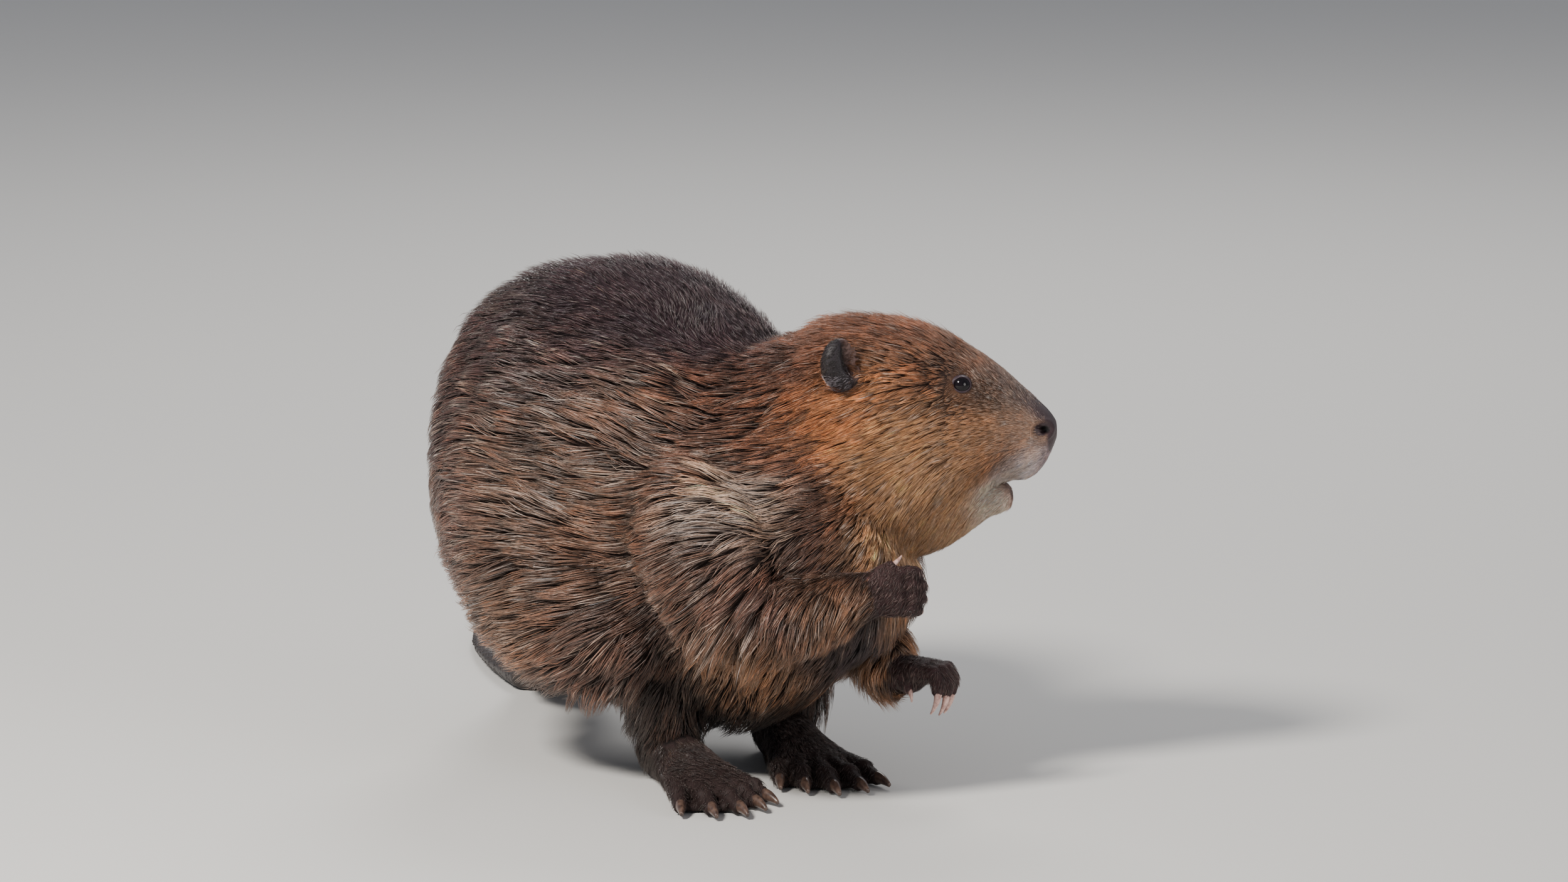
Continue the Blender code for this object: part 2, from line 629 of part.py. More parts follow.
# ---------------------------------------------------------------- the fused body
flesh = fuse(
    "flesh",
    [
        body_loft("trunk", TRUNK, count=26, segments=28),
        body_loft("neck", NECK, count=10, segments=24),
        head_loft("head", HEAD, count=30, segments=24),
        head_loft("jaw", JAW, count=14, segments=20),
        limb_loft("rt", RIGHT_THIGH, count=12), limb_loft("lt", LEFT_THIGH, count=12),
        limb_loft("rs", RIGHT_SHANK), limb_loft("ls", LEFT_SHANK),
        limb_loft("ru", RIGHT_UPPER_ARM), limb_loft("rf", RIGHT_FOREARM),
        limb_loft("lu", LEFT_UPPER_ARM), limb_loft("lf", LEFT_FOREARM),
        limb_loft("tr", TAIL_ROOT),
    ],
    FLESH_VOXEL, smooth=5,
)
decimate(flesh, 1490)

# ---------------------------------------------------------------- paws, feet and tail
RIGHT_WRIST, LEFT_WRIST = (16.2, -2.15, 13.75), (12.6, 4.3, 7.2)
fore_paw(
    "right", RIGHT_WRIST, (0.60, 0.80, 0.06), (0.80, -0.60, 0.0), (0, 0, 1),
    angles=(12, 46, 66), droop=18, thumb_angles=(8, -27), hand=2.0, straighter=16,
)
fore_paw(
    "left", LEFT_WRIST, (0.93, 0.30, 0.22), (-0.10, 0.25, 0.96), (0.55, -0.80, 0.1),
    angles=(10, 64, 106), droop=-6, thumb_angles=(60, -10), straighter=12,
)
for name, wrist, f in (("right", RIGHT_WRIST, (0.60, 0.80, 0.06)), ("left", LEFT_WRIST, (0.93, 0.30, 0.22))):
    cuff = block("cuff", Vector(wrist) - unit(f) * (GAP / 2), f, size=5, width=6, tall=6)
    combine(flesh, cuff, "DIFFERENCE")
    drop(cuff)

hind_foot("right", (-1.0, -3.6, 0), -22)
hind_foot("left", (-0.6, 6.4, 0), -30)

swing = math.radians(TAIL_SWING)
back = Vector((-math.cos(swing), math.sin(swing), 0))
across = Vector((-back.y, back.x, 0))
tail_start = Vector((-24.6, 9.6, 0))
tail = []
for k in range(9):
    u = k / 8
    width = TAIL_WIDTH / 2 * (0.46 + 0.54 * math.sin(math.pi * min(u / 0.62, 1.0) / 2) ** 0.9)
    if u > 0.62:
        width = TAIL_WIDTH / 2 * max(1 - ((u - 0.62) / 0.38) ** 2.6, 0.0) ** 0.5
    thick = TAIL_THICK / 2 * (1.05 - 0.62 * u)
    p = tail_start + back * (TAIL_LENGTH * min(u, 0.985))
    tail.append((p.x, p.y, thick * 0.85, max(width, 1.4), max(thick, 0.32)))
paddle = limb_loft("tail", tail, count=22, segments=20, square=2.3)
paddle = fuse("tail", [paddle], 0.35, smooth=3)
decimate(paddle, 220)

# ---------------------------------------------------------------- eyes, ears and nose
ahead = head_point(1, 0, 0) - head_point(0, 0, 0)
right_of_head = head_point(0, 1, 0) - head_point(0, 0, 0)
sky = Vector((0, 0, 1))
extras = []
for side, sign in (("right", 1), ("left", -1)):
    centre = head_point(EYE_S, sign * EYE_W, EYE_Z)
    extras.append((ball(f"{side}_eye", centre, (EYE_R,) * 3, segments=10, rings=6), "eye"))
    socket = ball("socket", centre, (EYE_R,) * 3, segments=10, rings=6, grow=GAP * 1.2)
    combine(flesh, socket, "DIFFERENCE")
    drop(socket)
for side, sign in (("right", 1), ("left", -1)):
    out = right_of_head * sign
    tilt = math.radians(28)
    face = (out * math.cos(tilt) + ahead * math.sin(tilt)).normalized()
    along = (ahead * math.cos(tilt) - out * math.sin(tilt)).normalized()
    rise = (sky * 0.97 - along * 0.22).normalized()
    rise = (rise - face * face.dot(rise)).normalized()
    along = rise.cross(face) * (1 if rise.cross(face).dot(ahead) > 0 else -1)
    centre = head_point(EAR_S, sign * EAR_W, EAR_Z - (FAR_EAR_DROP if sign < 0 else 0))
    ear = ball(f"{side}_ear", centre + face * 0.35, (1.40, 0.85, 1.72), axes=(along, face, rise), segments=10, rings=7)
    hollow = ball("hollow", centre + face * 1.35 + along * 0.50 + rise * 0.10, (1.00, 1.0, 1.28), axes=(along, face, rise), segments=9, rings=6)
    combine(ear, hollow, "DIFFERENCE")
    drop(hollow)
    biggest_island(ear)
    bed = ball("bed", centre + face * 0.35, (1.40, 0.85, 1.72), axes=(along, face, rise), segments=10, rings=7, grow=GAP * 1.2)
    combine(flesh, bed, "DIFFERENCE")
    drop(bed)
    extras.append((ear, "ear"))
biggest_island(flesh)

# ---------------------------------------------------------------- parting cuts
for name, rows in (
    ("right_forearm", ((13.4, -6.2, 12.2, 2.6, 2.6),) + RIGHT_FOREARM[2:]),
    ("left_forearm", ((9.6, 6.1, 7.9, 2.3, 2.3),) + LEFT_FOREARM[2:]),
    ("right_upper_arm", RIGHT_UPPER_ARM[1:]), ("left_upper_arm", LEFT_UPPER_ARM[1:]),
    ("right_shank", RIGHT_SHANK[1:]), ("left_shank", LEFT_SHANK[1:]),
    ("tail_root", TAIL_ROOT[1:]),
):
    take(flesh, name, pod("c", rows, 0.7), pod("c2", rows, 0.7 + GAP * 1.25))
HAM = ((-14.5, 9.5), (-13.6, 15.5), (-10.0, 20.0), (-5.0, 20.6), (0.0, 17.2), (4.6, 11.0), (5.0, 5.0), (0.0, 1.0), (-8.0, 1.0))
for name, sides in (("right_thigh", (-24.0, -3.6)), ("left_thigh", (3.6, 24.0))):
    take(flesh, name, prism("p", HAM, (0, 0, 0), (1, 0), sides=sides), prism("p2", HAM, (0, 0, 0), (1, 0), grow=GAP, sides=sides))

nose_centre = head_point(21.35, 0, 22.55)
nose_axes = (ahead, right_of_head, sky)
nose = take(
    flesh, "nose_pad",
    ball("n", nose_centre, (1.15, 1.95, 1.75), axes=nose_axes, segments=10, rings=7),
    ball("n2", nose_centre, (1.15, 1.95, 1.75), axes=nose_axes, segments=10, rings=7, grow=GAP * 1.2),
)
paint(nose, "nose")

# in the head's own plane: jaw under the line of the mouth, muzzle before the eyes, head behind it
MOUTH = ((13.6, 17.6), (19.1, 19.14), (24.0, 20.5), (24.0, 10.0), (13.6, 10.0))
SNOUT = ((17.1, 40.0), (17.1, 10.0), (26.0, 10.0), (26.0, 40.0))
SKULL = ((6.6, 40.0), (7.0, 24.0), (8.4, 18.0), (10.4, 13.5), (26.0, 13.2), (26.0, 40.0))
COLLAR = ((3.6, 40.0), (4.4, 28.5), (8.6, 14.8), (11.5, 12.9), (26.0, 12.9), (26.0, 40.0))
plane_of_head = head_point(0, 0, 0)
for name, outline in (("lower_jaw", MOUTH), ("muzzle", SNOUT), ("head", SKULL)):
    piece = take(flesh, name, prism("p", outline, plane_of_head, ahead), prism("p2", outline, plane_of_head, ahead, grow=GAP))
    paint(piece, "head_coat")
take(flesh, "neck", prism("p", COLLAR, (0, 0, 0), (0.90, 0.43)), prism("p2", COLLAR, (0, 0, 0), (0.90, 0.43), grow=GAP))
for name, x in (("rump", -10.0), ("mid_body", 0.0)):
    take(
        flesh, name,
        block("b", (x, 0, 0), (-1, 0, 0)), block("b2", (x + GAP, 0, 0), (-1, 0, 0)),
    )
publish(biggest_island(flesh), "chest")

# ---------------------------------------------------------------- what the feet and tail meet
for obj, colour in extras:
    publish(obj, obj.name, colour)


def clear_of(target, blocker, grow):
    """Takes from target a slightly swollen copy of the piece that it meets."""
    cutter = copy_of(blocker, "swollen")
    swell = cutter.modifiers.new("swell", "DISPLACE")
    swell.strength = grow * 0.01
    swell.mid_level = 0.0
    apply_all(cutter)
    combine(target, cutter, "DIFFERENCE")
    drop(cutter)
    biggest_island(target)


parts = {obj.name: obj for obj in PARTS.objects}
for side in ("right", "left"):
    clear_of(parts[f"{side}_shank"], parts[f"{side}_hind_foot"], GAP * 1.6)
    for name in (f"{side}_thigh", "mid_body", "chest"):
        clear_of(parts[name], parts[f"{side}_hind_foot"], GAP * 1.6)
clear_of(paddle, parts["tail_root"], GAP * 1.6)
floor = block("floor", (0, 0, 0), (0, 0, -1), size=100)
for obj in (paddle, parts["tail_root"]):
    combine(obj, floor, "DIFFERENCE")
    biggest_island(obj)
drop(floor)
publish(paddle, "tail", "tail")

# ---------------------------------------------------------------- origin under the middle of its box
low, high = Vector((9, 9, 9)), Vector((-9, -9, -9))
for obj in PARTS.objects:
    for v in obj.data.vertices:
        for k in range(3):
            low[k] = min(low[k], v.co[k])
            high[k] = max(high[k], v.co[k])
shift = Matrix.Translation((-(low.x + high.x) / 2, -(low.y + high.y) / 2, 0.0))
for obj in PARTS.objects:
    obj.data.transform(shift)
    obj.data.update()
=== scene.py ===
"""Beaver, life size, standing on its hind feet with the fore paws lifted: the looks.

One skin replaces the parts of flesh and lies inside them by the depth of the coat.  The
coat is solid tufts over that skin, each traced along the lie of the hair.  Design sizes
are centimetres, in the frame that the solids were drawn in; world() gives metres.
"""

import math

import bmesh
import bpy
import numpy as np
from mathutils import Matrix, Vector, noise
from mathutils.bvhtree import BVHTree
from mathutils.kdtree import KDTree

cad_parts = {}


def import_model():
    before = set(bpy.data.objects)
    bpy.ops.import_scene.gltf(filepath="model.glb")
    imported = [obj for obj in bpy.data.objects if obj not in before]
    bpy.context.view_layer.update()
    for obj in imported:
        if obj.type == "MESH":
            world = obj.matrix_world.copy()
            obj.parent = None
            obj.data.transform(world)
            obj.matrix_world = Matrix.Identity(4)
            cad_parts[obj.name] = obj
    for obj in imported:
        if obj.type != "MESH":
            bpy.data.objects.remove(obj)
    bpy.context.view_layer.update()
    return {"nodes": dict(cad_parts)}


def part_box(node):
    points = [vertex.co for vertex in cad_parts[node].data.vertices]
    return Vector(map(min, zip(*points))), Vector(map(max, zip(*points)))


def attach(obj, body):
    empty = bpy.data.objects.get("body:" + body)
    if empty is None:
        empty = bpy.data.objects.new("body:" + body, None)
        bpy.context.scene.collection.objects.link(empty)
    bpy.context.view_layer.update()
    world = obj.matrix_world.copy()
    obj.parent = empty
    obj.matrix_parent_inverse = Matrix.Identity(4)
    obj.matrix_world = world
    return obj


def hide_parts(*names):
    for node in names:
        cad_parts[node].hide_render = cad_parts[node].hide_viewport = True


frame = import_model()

RNG = np.random.default_rng(20)

# ---------------------------------------------------------------- sizes shared with the solids (cm)
HEAD_YAW, HEAD_PLANE = 45.0, 4.17
EYE_R, EYE_S, EYE_Z, EYE_W = 0.62, 15.85, 26.0, 3.50
EAR_S, EAR_Z, EAR_W = 8.25, 27.5, 4.75
FAR_EAR_DROP = 0.4
TAIL_LENGTH, TAIL_WIDTH, TAIL_THICK, TAIL_SWING = 26.0, 11.5, 1.9, 45.0
SKIN_VOXEL = 0.135
COAT_TRIANGLES = 1.44e6
PIECES = 9

# Sections as in the solids, each with the depth of the coat there as its last number.
# Trunk: x, y, yaw, height of widest point, half width, rise, drop, squareness, depth
TRUNK = (
    (-19.8, 0.0, 0, 18.2, 2.4, 2.6, 2.6, 2.0, 1.0),
    (-19.1, 0.0, 0, 18.1, 5.2, 6.0, 5.4, 2.05, 1.0),
    (-18.0, 0.0, 0, 18.0, 7.2, 9.0, 7.4, 2.1, 1.0),
    (-16.8, 0.0, 0, 17.8, 8.8, 11.3, 8.7, 2.2, 1.0),
    (-15.0, 0.0, 0, 17.5, 10.5, 13.3, 9.2, 2.3, 1.0),
    (-12.0, 0.0, 0, 17.1, 12.3, 14.9, 10.4, 2.3, 1.0),
    (-8.0, 0.0, 0, 16.8, 13.0, 15.7, 12.4, 2.25, 0.95),
    (-4.0, 0.0, 0, 16.8, 12.2, 15.3, 14.0, 2.1, 0.95),
    (0.0, 0.0, 4, 16.8, 10.9, 14.1, 14.4, 2.0, 1.0),
    (3.6, 0.0, 8, 16.8, 9.9, 12.3, 14.2, 2.0, 1.0),
    (7.2, 0.3, 12, 16.4, 9.0, 10.2, 12.2, 2.05, 1.0),
    (10.2, 0.9, 16, 15.4, 8.0, 8.0, 9.2, 2.05, 1.0),
    (12.6, 1.6, 18, 14.2, 6.3, 5.6, 6.0, 2.0, 0.9),
    (14.2, 2.2, 20, 13.2, 4.2, 3.4, 3.8, 2.0, 0.8),
    (14.9, 2.5, 20, 12.9, 2.0, 1.6, 1.5, 2.0, 0.6),
)
NECK = (
    (-1.0, 0.0, 8, 18.6, 7.0, 8.6, 5.0, 2.0, 1.0),
    (2.6, 0.2, 18, 19.2, 7.9, 8.9, 6.0, 2.0, 1.0),
    (5.4, 0.9, 30, 19.8, 7.9, 9.0, 6.6, 2.05, 1.0),
    (8.0, 2.4, 40, 20.2, 7.1, 9.2, 6.6, 2.1, 1.0),
    (10.4, 4.6, 45, 20.4, 6.4, 9.5, 6.5, 2.1, 0.9),
)
# Head and jaw: distance along, top, bottom, height of widest, half width, squareness, depth
HEAD = (
    (2.6, 28.3, 14.6, 20.8, 6.9, 2.1, 2.6),
    (4.6, 28.9, 14.2, 20.8, 6.8, 2.1, 1.5),
    (6.8, 29.6, 13.9, 20.6, 6.6, 2.15, 0.9),
    (8.8, 30.0, 13.7, 20.4, 6.5, 2.2, 0.8),
    (10.8, 30.0, 13.7, 20.4, 6.3, 2.2, 0.72),
    (12.8, 29.7, 14.2, 20.7, 5.9, 2.2, 0.62),
    (14.8, 29.0, 15.2, 21.2, 5.1, 2.2, 0.48),
    (16.2, 28.3, 16.8, 21.8, 4.45, 2.2, 0.38),
    (17.6, 27.35, 18.9, 22.1, 3.85, 2.25, 0.30),
    (18.9, 26.3, 19.35, 22.2, 3.45, 2.35, 0.24),
    (19.9, 25.3, 19.3, 22.2, 3.15, 2.4, 0.18),
    (20.8, 24.5, 19.9, 22.2, 2.7, 2.4, 0.12),
    (21.5, 23.8, 20.95, 22.3, 2.05, 2.3, 0.08),
    (22.0, 23.1, 22.05, 22.55, 1.0, 2.0, 0.04),
)
JAW = (
    (8.8, 20.0, 14.2, 17.0, 4.6, 2.1, 0.8),
    (12.0, 20.0, 13.9, 17.0, 4.5, 2.1, 0.7),
    (14.6, 20.0, 14.7, 17.4, 3.7, 2.1, 0.5),
    (16.4, 19.5, 15.85, 17.8, 2.9, 2.1, 0.34),
    (17.8, 19.25, 16.95, 18.1, 2.25, 2.1, 0.22),
    (18.8, 19.3, 17.4, 18.3, 1.8, 2.1, 0.15),
    (19.25, 18.9, 17.7, 18.3, 1.0, 2.0, 0.10),
)
# Limbs: x, y, z, half width across the path, half depth, depth of the coat
RIGHT_THIGH = (
    (-11.6, -5.6, 15.6, 4.6, 4.4, 1.0), (-9.0, -7.0, 15.0, 6.0, 6.8, 1.0), (-5.0, -7.6, 12.9, 6.2, 7.7, 1.0),
    (-1.0, -7.4, 10.6, 5.5, 6.6, 1.0), (2.0, -6.9, 8.8, 4.2, 4.5, 0.95), (3.4, -6.6, 8.0, 2.2, 2.4, 0.8),
)
LEFT_THIGH = (
    (-11.6, 5.6, 15.6, 4.6, 4.4, 1.0), (-9.0, 7.0, 15.0, 6.0, 6.8, 1.0), (-5.0, 7.4, 12.9, 6.1, 7.6, 1.0),
    (-1.5, 7.0, 10.6, 5.4, 6.5, 1.0), (1.5, 6.6, 8.8, 4.0, 4.5, 0.95), (2.9, 6.4, 8.0, 2.2, 2.4, 0.8),
)
RIGHT_SHANK = ((1.6, -5.6, 8.6, 2.8, 3.0, 0.8), (1.1, -4.9, 5.8, 2.9, 3.0, 0.75), (0.4, -4.3, 3.7, 2.7, 2.8, 0.65), (-0.3, -3.9, 2.4, 2.1, 2.1, 0.45))
LEFT_SHANK = ((1.8, 6.4, 8.6, 2.8, 3.0, 0.8), (1.3, 6.4, 5.8, 2.9, 3.0, 0.75), (0.7, 6.4, 3.7, 2.7, 2.8, 0.65), (0.1, 6.3, 2.4, 2.1, 2.1, 0.45))
RIGHT_UPPER_ARM = (
    (3.4, -4.6, 19.5, 4.4, 4.6, 1.0), (6.2, -6.6, 17.2, 4.9, 5.2, 1.0), (9.0, -8.2, 14.4, 4.5, 4.8, 1.0),
    (11.2, -8.6, 12.0, 3.5, 3.8, 1.0), (12.2, -8.6, 10.9, 2.2, 2.3, 0.9),
)
RIGHT_FOREARM = ((10.4, -8.8, 11.6, 2.9, 3.1, 0.9), (12.6, -7.2, 11.9, 2.75, 2.9, 0.8), (14.8, -4.3, 12.8, 2.1, 2.3, 0.5), (16.6, -1.7, 13.8, 1.35, 1.55, 0.15))
LEFT_UPPER_ARM = ((4.6, 5.4, 17.0, 3.9, 4.2, 1.0), (6.2, 7.2, 13.8, 3.8, 4.2, 1.0), (7.0, 8.0, 10.8, 3.2, 3.5, 0.95), (7.4, 8.1, 9.2, 2.3, 2.4, 0.8))
LEFT_FOREARM = ((6.2, 7.8, 9.3, 2.6, 2.8, 0.8), (8.6, 6.7, 8.3, 2.45, 2.7, 0.75), (11.0, 5.2, 7.4, 2.0, 2.2, 0.5), (13.0, 4.1, 7.2, 1.35, 1.5, 0.15))
TAIL_ROOT = (
    (-13.4, 1.4, 13.0, 6.0, 5.9, 0.9), (-16.6, 3.0, 9.9, 5.2, 4.8, 0.85), (-19.6, 5.6, 6.0, 4.3, 3.9, 0.7),
    (-22.4, 8.3, 3.2, 3.3, 2.5, 0.4), (-25.2, 11.0, 1.6, 2.9, 1.3, 0.1),
)


# ---------------------------------------------------------------- frames of reference
def head_point(s, w, z):
    a = math.radians(HEAD_YAW)
    across = HEAD_PLANE + w
    return Vector((s * math.cos(a) + across * math.sin(a), s * math.sin(a) - across * math.cos(a), z))


_lo, _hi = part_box("right_eye")
SHIFT = np.array((_lo + _hi) / 2 * 100) - np.array(head_point(EYE_S, EYE_W, EYE_Z))


def world(p):
    return (np.asarray(p, float) + SHIFT) * 0.01


def design(co):
    return np.asarray(co, float) * 100 - SHIFT


def head_coords(p):
    """Design points as distance along the head, out to its right, and height."""
    a = math.radians(HEAD_YAW)
    return np.stack([p[:, 0] * math.cos(a) + p[:, 1] * math.sin(a), p[:, 0] * math.sin(a) - p[:, 1] * math.cos(a) - HEAD_PLANE, p[:, 2]], 1)


AHEAD = head_point(1, 0, 0) - head_point(0, 0, 0)
OUT = head_point(0, 1, 0) - head_point(0, 0, 0)
UP = Vector((0, 0, 1))


def unit(v):
    return Vector(v).normalized()


def normalise(a):
    return a / np.maximum(np.linalg.norm(a, axis=-1, keepdims=True), 1e-9)


def step(a, b, x):
    t = np.clip((x - a) / (b - a), 0, 1)
    return t * t * (3 - 2 * t)


# ---------------------------------------------------------------- camera, floor and light
R = Vector((math.sqrt(0.5), math.sqrt(0.5), 0))
ELEVATION = math.radians(10)
C = Vector((math.sqrt(0.5) * math.cos(ELEVATION), -math.sqrt(0.5) * math.cos(ELEVATION), math.sin(ELEVATION)))
U = C.cross(R)
LOOK = Vector(world((0.845, 5.943, 20.444)))
camera = bpy.data.objects.new("camera", bpy.data.cameras.new("camera"))
bpy.context.scene.collection.objects.link(camera)
camera.data.sensor_width = 36
camera.data.lens = 216
camera.data.clip_end = 200
camera.location = LOOK + C * 6.0
camera.rotation_euler = (-C).to_track_quat("-Z", "Y").to_euler()
bpy.context.scene.camera = camera


def new_object(name, mesh):
    obj = bpy.data.objects.new(name, mesh)
    bpy.context.scene.collection.objects.link(obj)
    return obj


def simple_material(name, colour, roughness):
    m = bpy.data.materials.new(name)
    m.use_nodes = True
    s = m.node_tree.nodes["Principled BSDF"]
    s.inputs["Base Color"].default_value = (*colour, 1)
    s.inputs["Roughness"].default_value = roughness
    return m


bm = bmesh.new()
bmesh.ops.create_grid(bm, x_segments=2, y_segments=2, size=30)
floor_mesh = bpy.data.meshes.new("floor")
bm.to_mesh(floor_mesh)
bm.free()
floor = new_object("floor", floor_mesh)
floor.data.materials.append(simple_material("floor", (0.62, 0.61, 0.59), 0.85))


def area(name, direction, distance, size, power, colour=(1, 1, 1)):
    light = bpy.data.lights.new(name, "AREA")
    light.shape = "DISK"
    light.size = size
    light.energy = power
    light.color = colour
    obj = bpy.data.objects.new(name, light)
    bpy.context.scene.collection.objects.link(obj)
    d = unit(direction)
    obj.location = LOOK + d * distance
    obj.rotation_euler = d.to_track_quat("Z", "Y").to_euler()
    return obj


area("key", C * 0.66 - R * 0.58 + UP * 0.66, 2.6, 0.55, 105, (1.0, 0.955, 0.89))
area("fill", C * 0.8 + R * 0.9 + UP * 0.10, 3.0, 1.6, 30, (1.0, 0.965, 0.93))
area("back", -C * 0.9 + R * 0.1 + UP * 0.9, 2.8, 1.2, 34, (1.0, 0.98, 0.95))
sky = bpy.data.worlds.new("sky")
bpy.context.scene.world = sky
sky.use_nodes = True
sky.node_tree.nodes["Background"].inputs["Color"].default_value = (0.86, 0.90, 1.0, 1)
sky.node_tree.nodes["Background"].inputs["Strength"].default_value = 0.36


# ---------------------------------------------------------------- lofts
def smooth_table(rows, count):
    rows = np.array(rows, float)
    lengths = np.linalg.norm(np.diff(rows[:, :3], axis=0), axis=1)
    at = np.concatenate([[0.0], np.cumsum(np.maximum(lengths, 1e-6))])
    slope = np.gradient(rows, at, axis=0)
    out = []
    for t in np.linspace(0.0, at[-1], count):
        i = min(int(np.searchsorted(at, t, side="right")) - 1, len(at) - 2)
        h = at[i + 1] - at[i]
        u = (t - at[i]) / h
        out.append(
            (2 * u**3 - 3 * u**2 + 1) * rows[i] + (u**3 - 2 * u**2 + u) * h * slope[i]
            + (-2 * u**3 + 3 * u**2) * rows[i + 1] + (u**3 - u**2) * h * slope[i + 1]
        )
    return np.array(out)


def ring_points(centre, side, up, a, rise, drop, square, segments):
    th = 2 * math.pi * (np.arange(segments) + 0.5) / segments
    c, s = np.cos(th), np.sin(th)
    x = a * np.sign(c) * np.abs(c) ** (2 / square)
    z = np.where(s > 0, rise, drop) * np.sign(s) * np.abs(s) ** (2 / square)
    return np.array(centre) + x[:, None] * np.array(side) + z[:, None] * np.array(up)


def skin_rings(rings):
    """A closed mesh lofted over rings of design points, as a bmesh in metres."""
    bm = bmesh.new()
    loops = [[bm.verts.new(world(p)) for p in ring] for ring in rings]
    n = len(loops[0])
    for one, two in zip(loops, loops[1:]):
        for k in range(n):
            bm.faces.new((one[k], one[(k + 1) % n], two[(k + 1) % n], two[k]))
    bm.faces.new(list(reversed(loops[0])))
    bm.faces.new(loops[-1])
    bmesh.ops.recalc_face_normals(bm, faces=bm.faces)
    if bm.calc_volume(signed=True) < 0:
        bmesh.ops.reverse_faces(bm, faces=bm.faces)
    return bm


def body_loft(rows, count=40, segments=48):
    rows = [(x, y, z, yaw, a - d, up - d, down - d, n, d) for x, y, yaw, z, a, up, down, n, d in rows]
    rings = []
    for i, (x, y, z, yaw, a, up, down, n, d) in enumerate(smooth_table(rows, count)):
        t = math.radians(yaw)
        move = d if i == 0 else -d if i == count - 1 else 0.0
        centre = (x + move * math.cos(t), y + move * math.sin(t), z)
        rings.append(ring_points(centre, (-math.sin(t), math.cos(t), 0), (0, 0, 1), max(a, 0.4), max(up, 0.4), max(down, 0.4), n, segments))
    return skin_rings(rings)


def head_loft(rows, count=60, segments=64):
    table = smooth_table([(s, 0, z, a - d, top - d - z, z - low_ - d, n, d) for s, top, low_, z, a, n, d in rows], count)
    rings = []
    for i, (s, _, z, a, up, down, n, d) in enumerate(table):
        move = -d if i == count - 1 else 0.0
        rings.append(ring_points(head_point(s + move, 0, z), OUT, (0, 0, 1), max(a, 0.3), max(up, 0.3), max(down, 0.3), n, segments))
    return skin_rings(rings)


def limb_loft(rows, count=20, segments=24, lift=(0, 0, 1), ends=(0.0, 0.0), square=2.0):
    rows = [(r[0], r[1], r[2], r[3] - (r[5] if len(r) > 5 else 0), r[4] - (r[5] if len(r) > 5 else 0), r[5] if len(r) > 5 else 0) for r in rows]
    table = smooth_table(rows, count)
    centres = [Vector(r[:3]) for r in table]
    rings = []
    for i, (centre, row) in enumerate(zip(centres, table)):
        ahead = (centres[min(i + 1, count - 1)] - centres[max(i - 1, 0)]).normalized()
        side = Vector(lift).cross(ahead).normalized()
        up = ahead.cross(side)
        move = -ends[0] if i == 0 else ends[1] if i == count - 1 else 0.0
        if i in (0, count - 1):
            move += row[5] if i == 0 else -row[5]
        rings.append(ring_points(centre + ahead * move, side, up, max(row[3], 0.05), max(row[4], 0.05), max(row[4], 0.05), square, segments))
    return skin_rings(rings)


def ball(centre, radii, axes, segments=40, rings=28):
    bm = bmesh.new()
    bmesh.ops.create_uvsphere(bm, u_segments=segments, v_segments=rings, radius=1.0)
    for v in bm.verts:
        p = Vector(centre)
        for k in range(3):
            p = p + axes[k] * (v.co[k] * radii[k])
        v.co = world(p)
    bmesh.ops.recalc_face_normals(bm, faces=bm.faces)
    if bm.calc_volume(signed=True) < 0:
        bmesh.ops.reverse_faces(bm, faces=bm.faces)
    return bm


# ---------------------------------------------------------------- paws, feet, tail and ears, as fine lofts
def bend(f, d, t, angle, droop=0.0):
    a, b = math.radians(angle), math.radians(droop)
    return (f * math.cos(a) - d * math.sin(a)) * math.cos(b) - t * math.sin(b)


HORN = {}


def claw(name, start, ahead, curl, length, r0, r1, turn, lift=(0, 0, 1)):
    """A curved horn that starts along ahead and turns towards curl."""
    ahead, curl = unit(ahead), unit(curl)
    rows, p, steps = [], Vector(start), 13
    for k in range(steps):
        share = k / (steps - 1)
        r = r0 + (r1 - r0) * share**1.5
        rows.append((*p, r, r * 1.18))
        a = math.radians(turn * (k + 0.5) / (steps - 1))
        p = p + (ahead * math.cos(a) + curl * math.sin(a)) * (length / (steps - 1))
    HORN[name] = limb_loft(rows, count=22, segments=16, lift=tuple(lift))


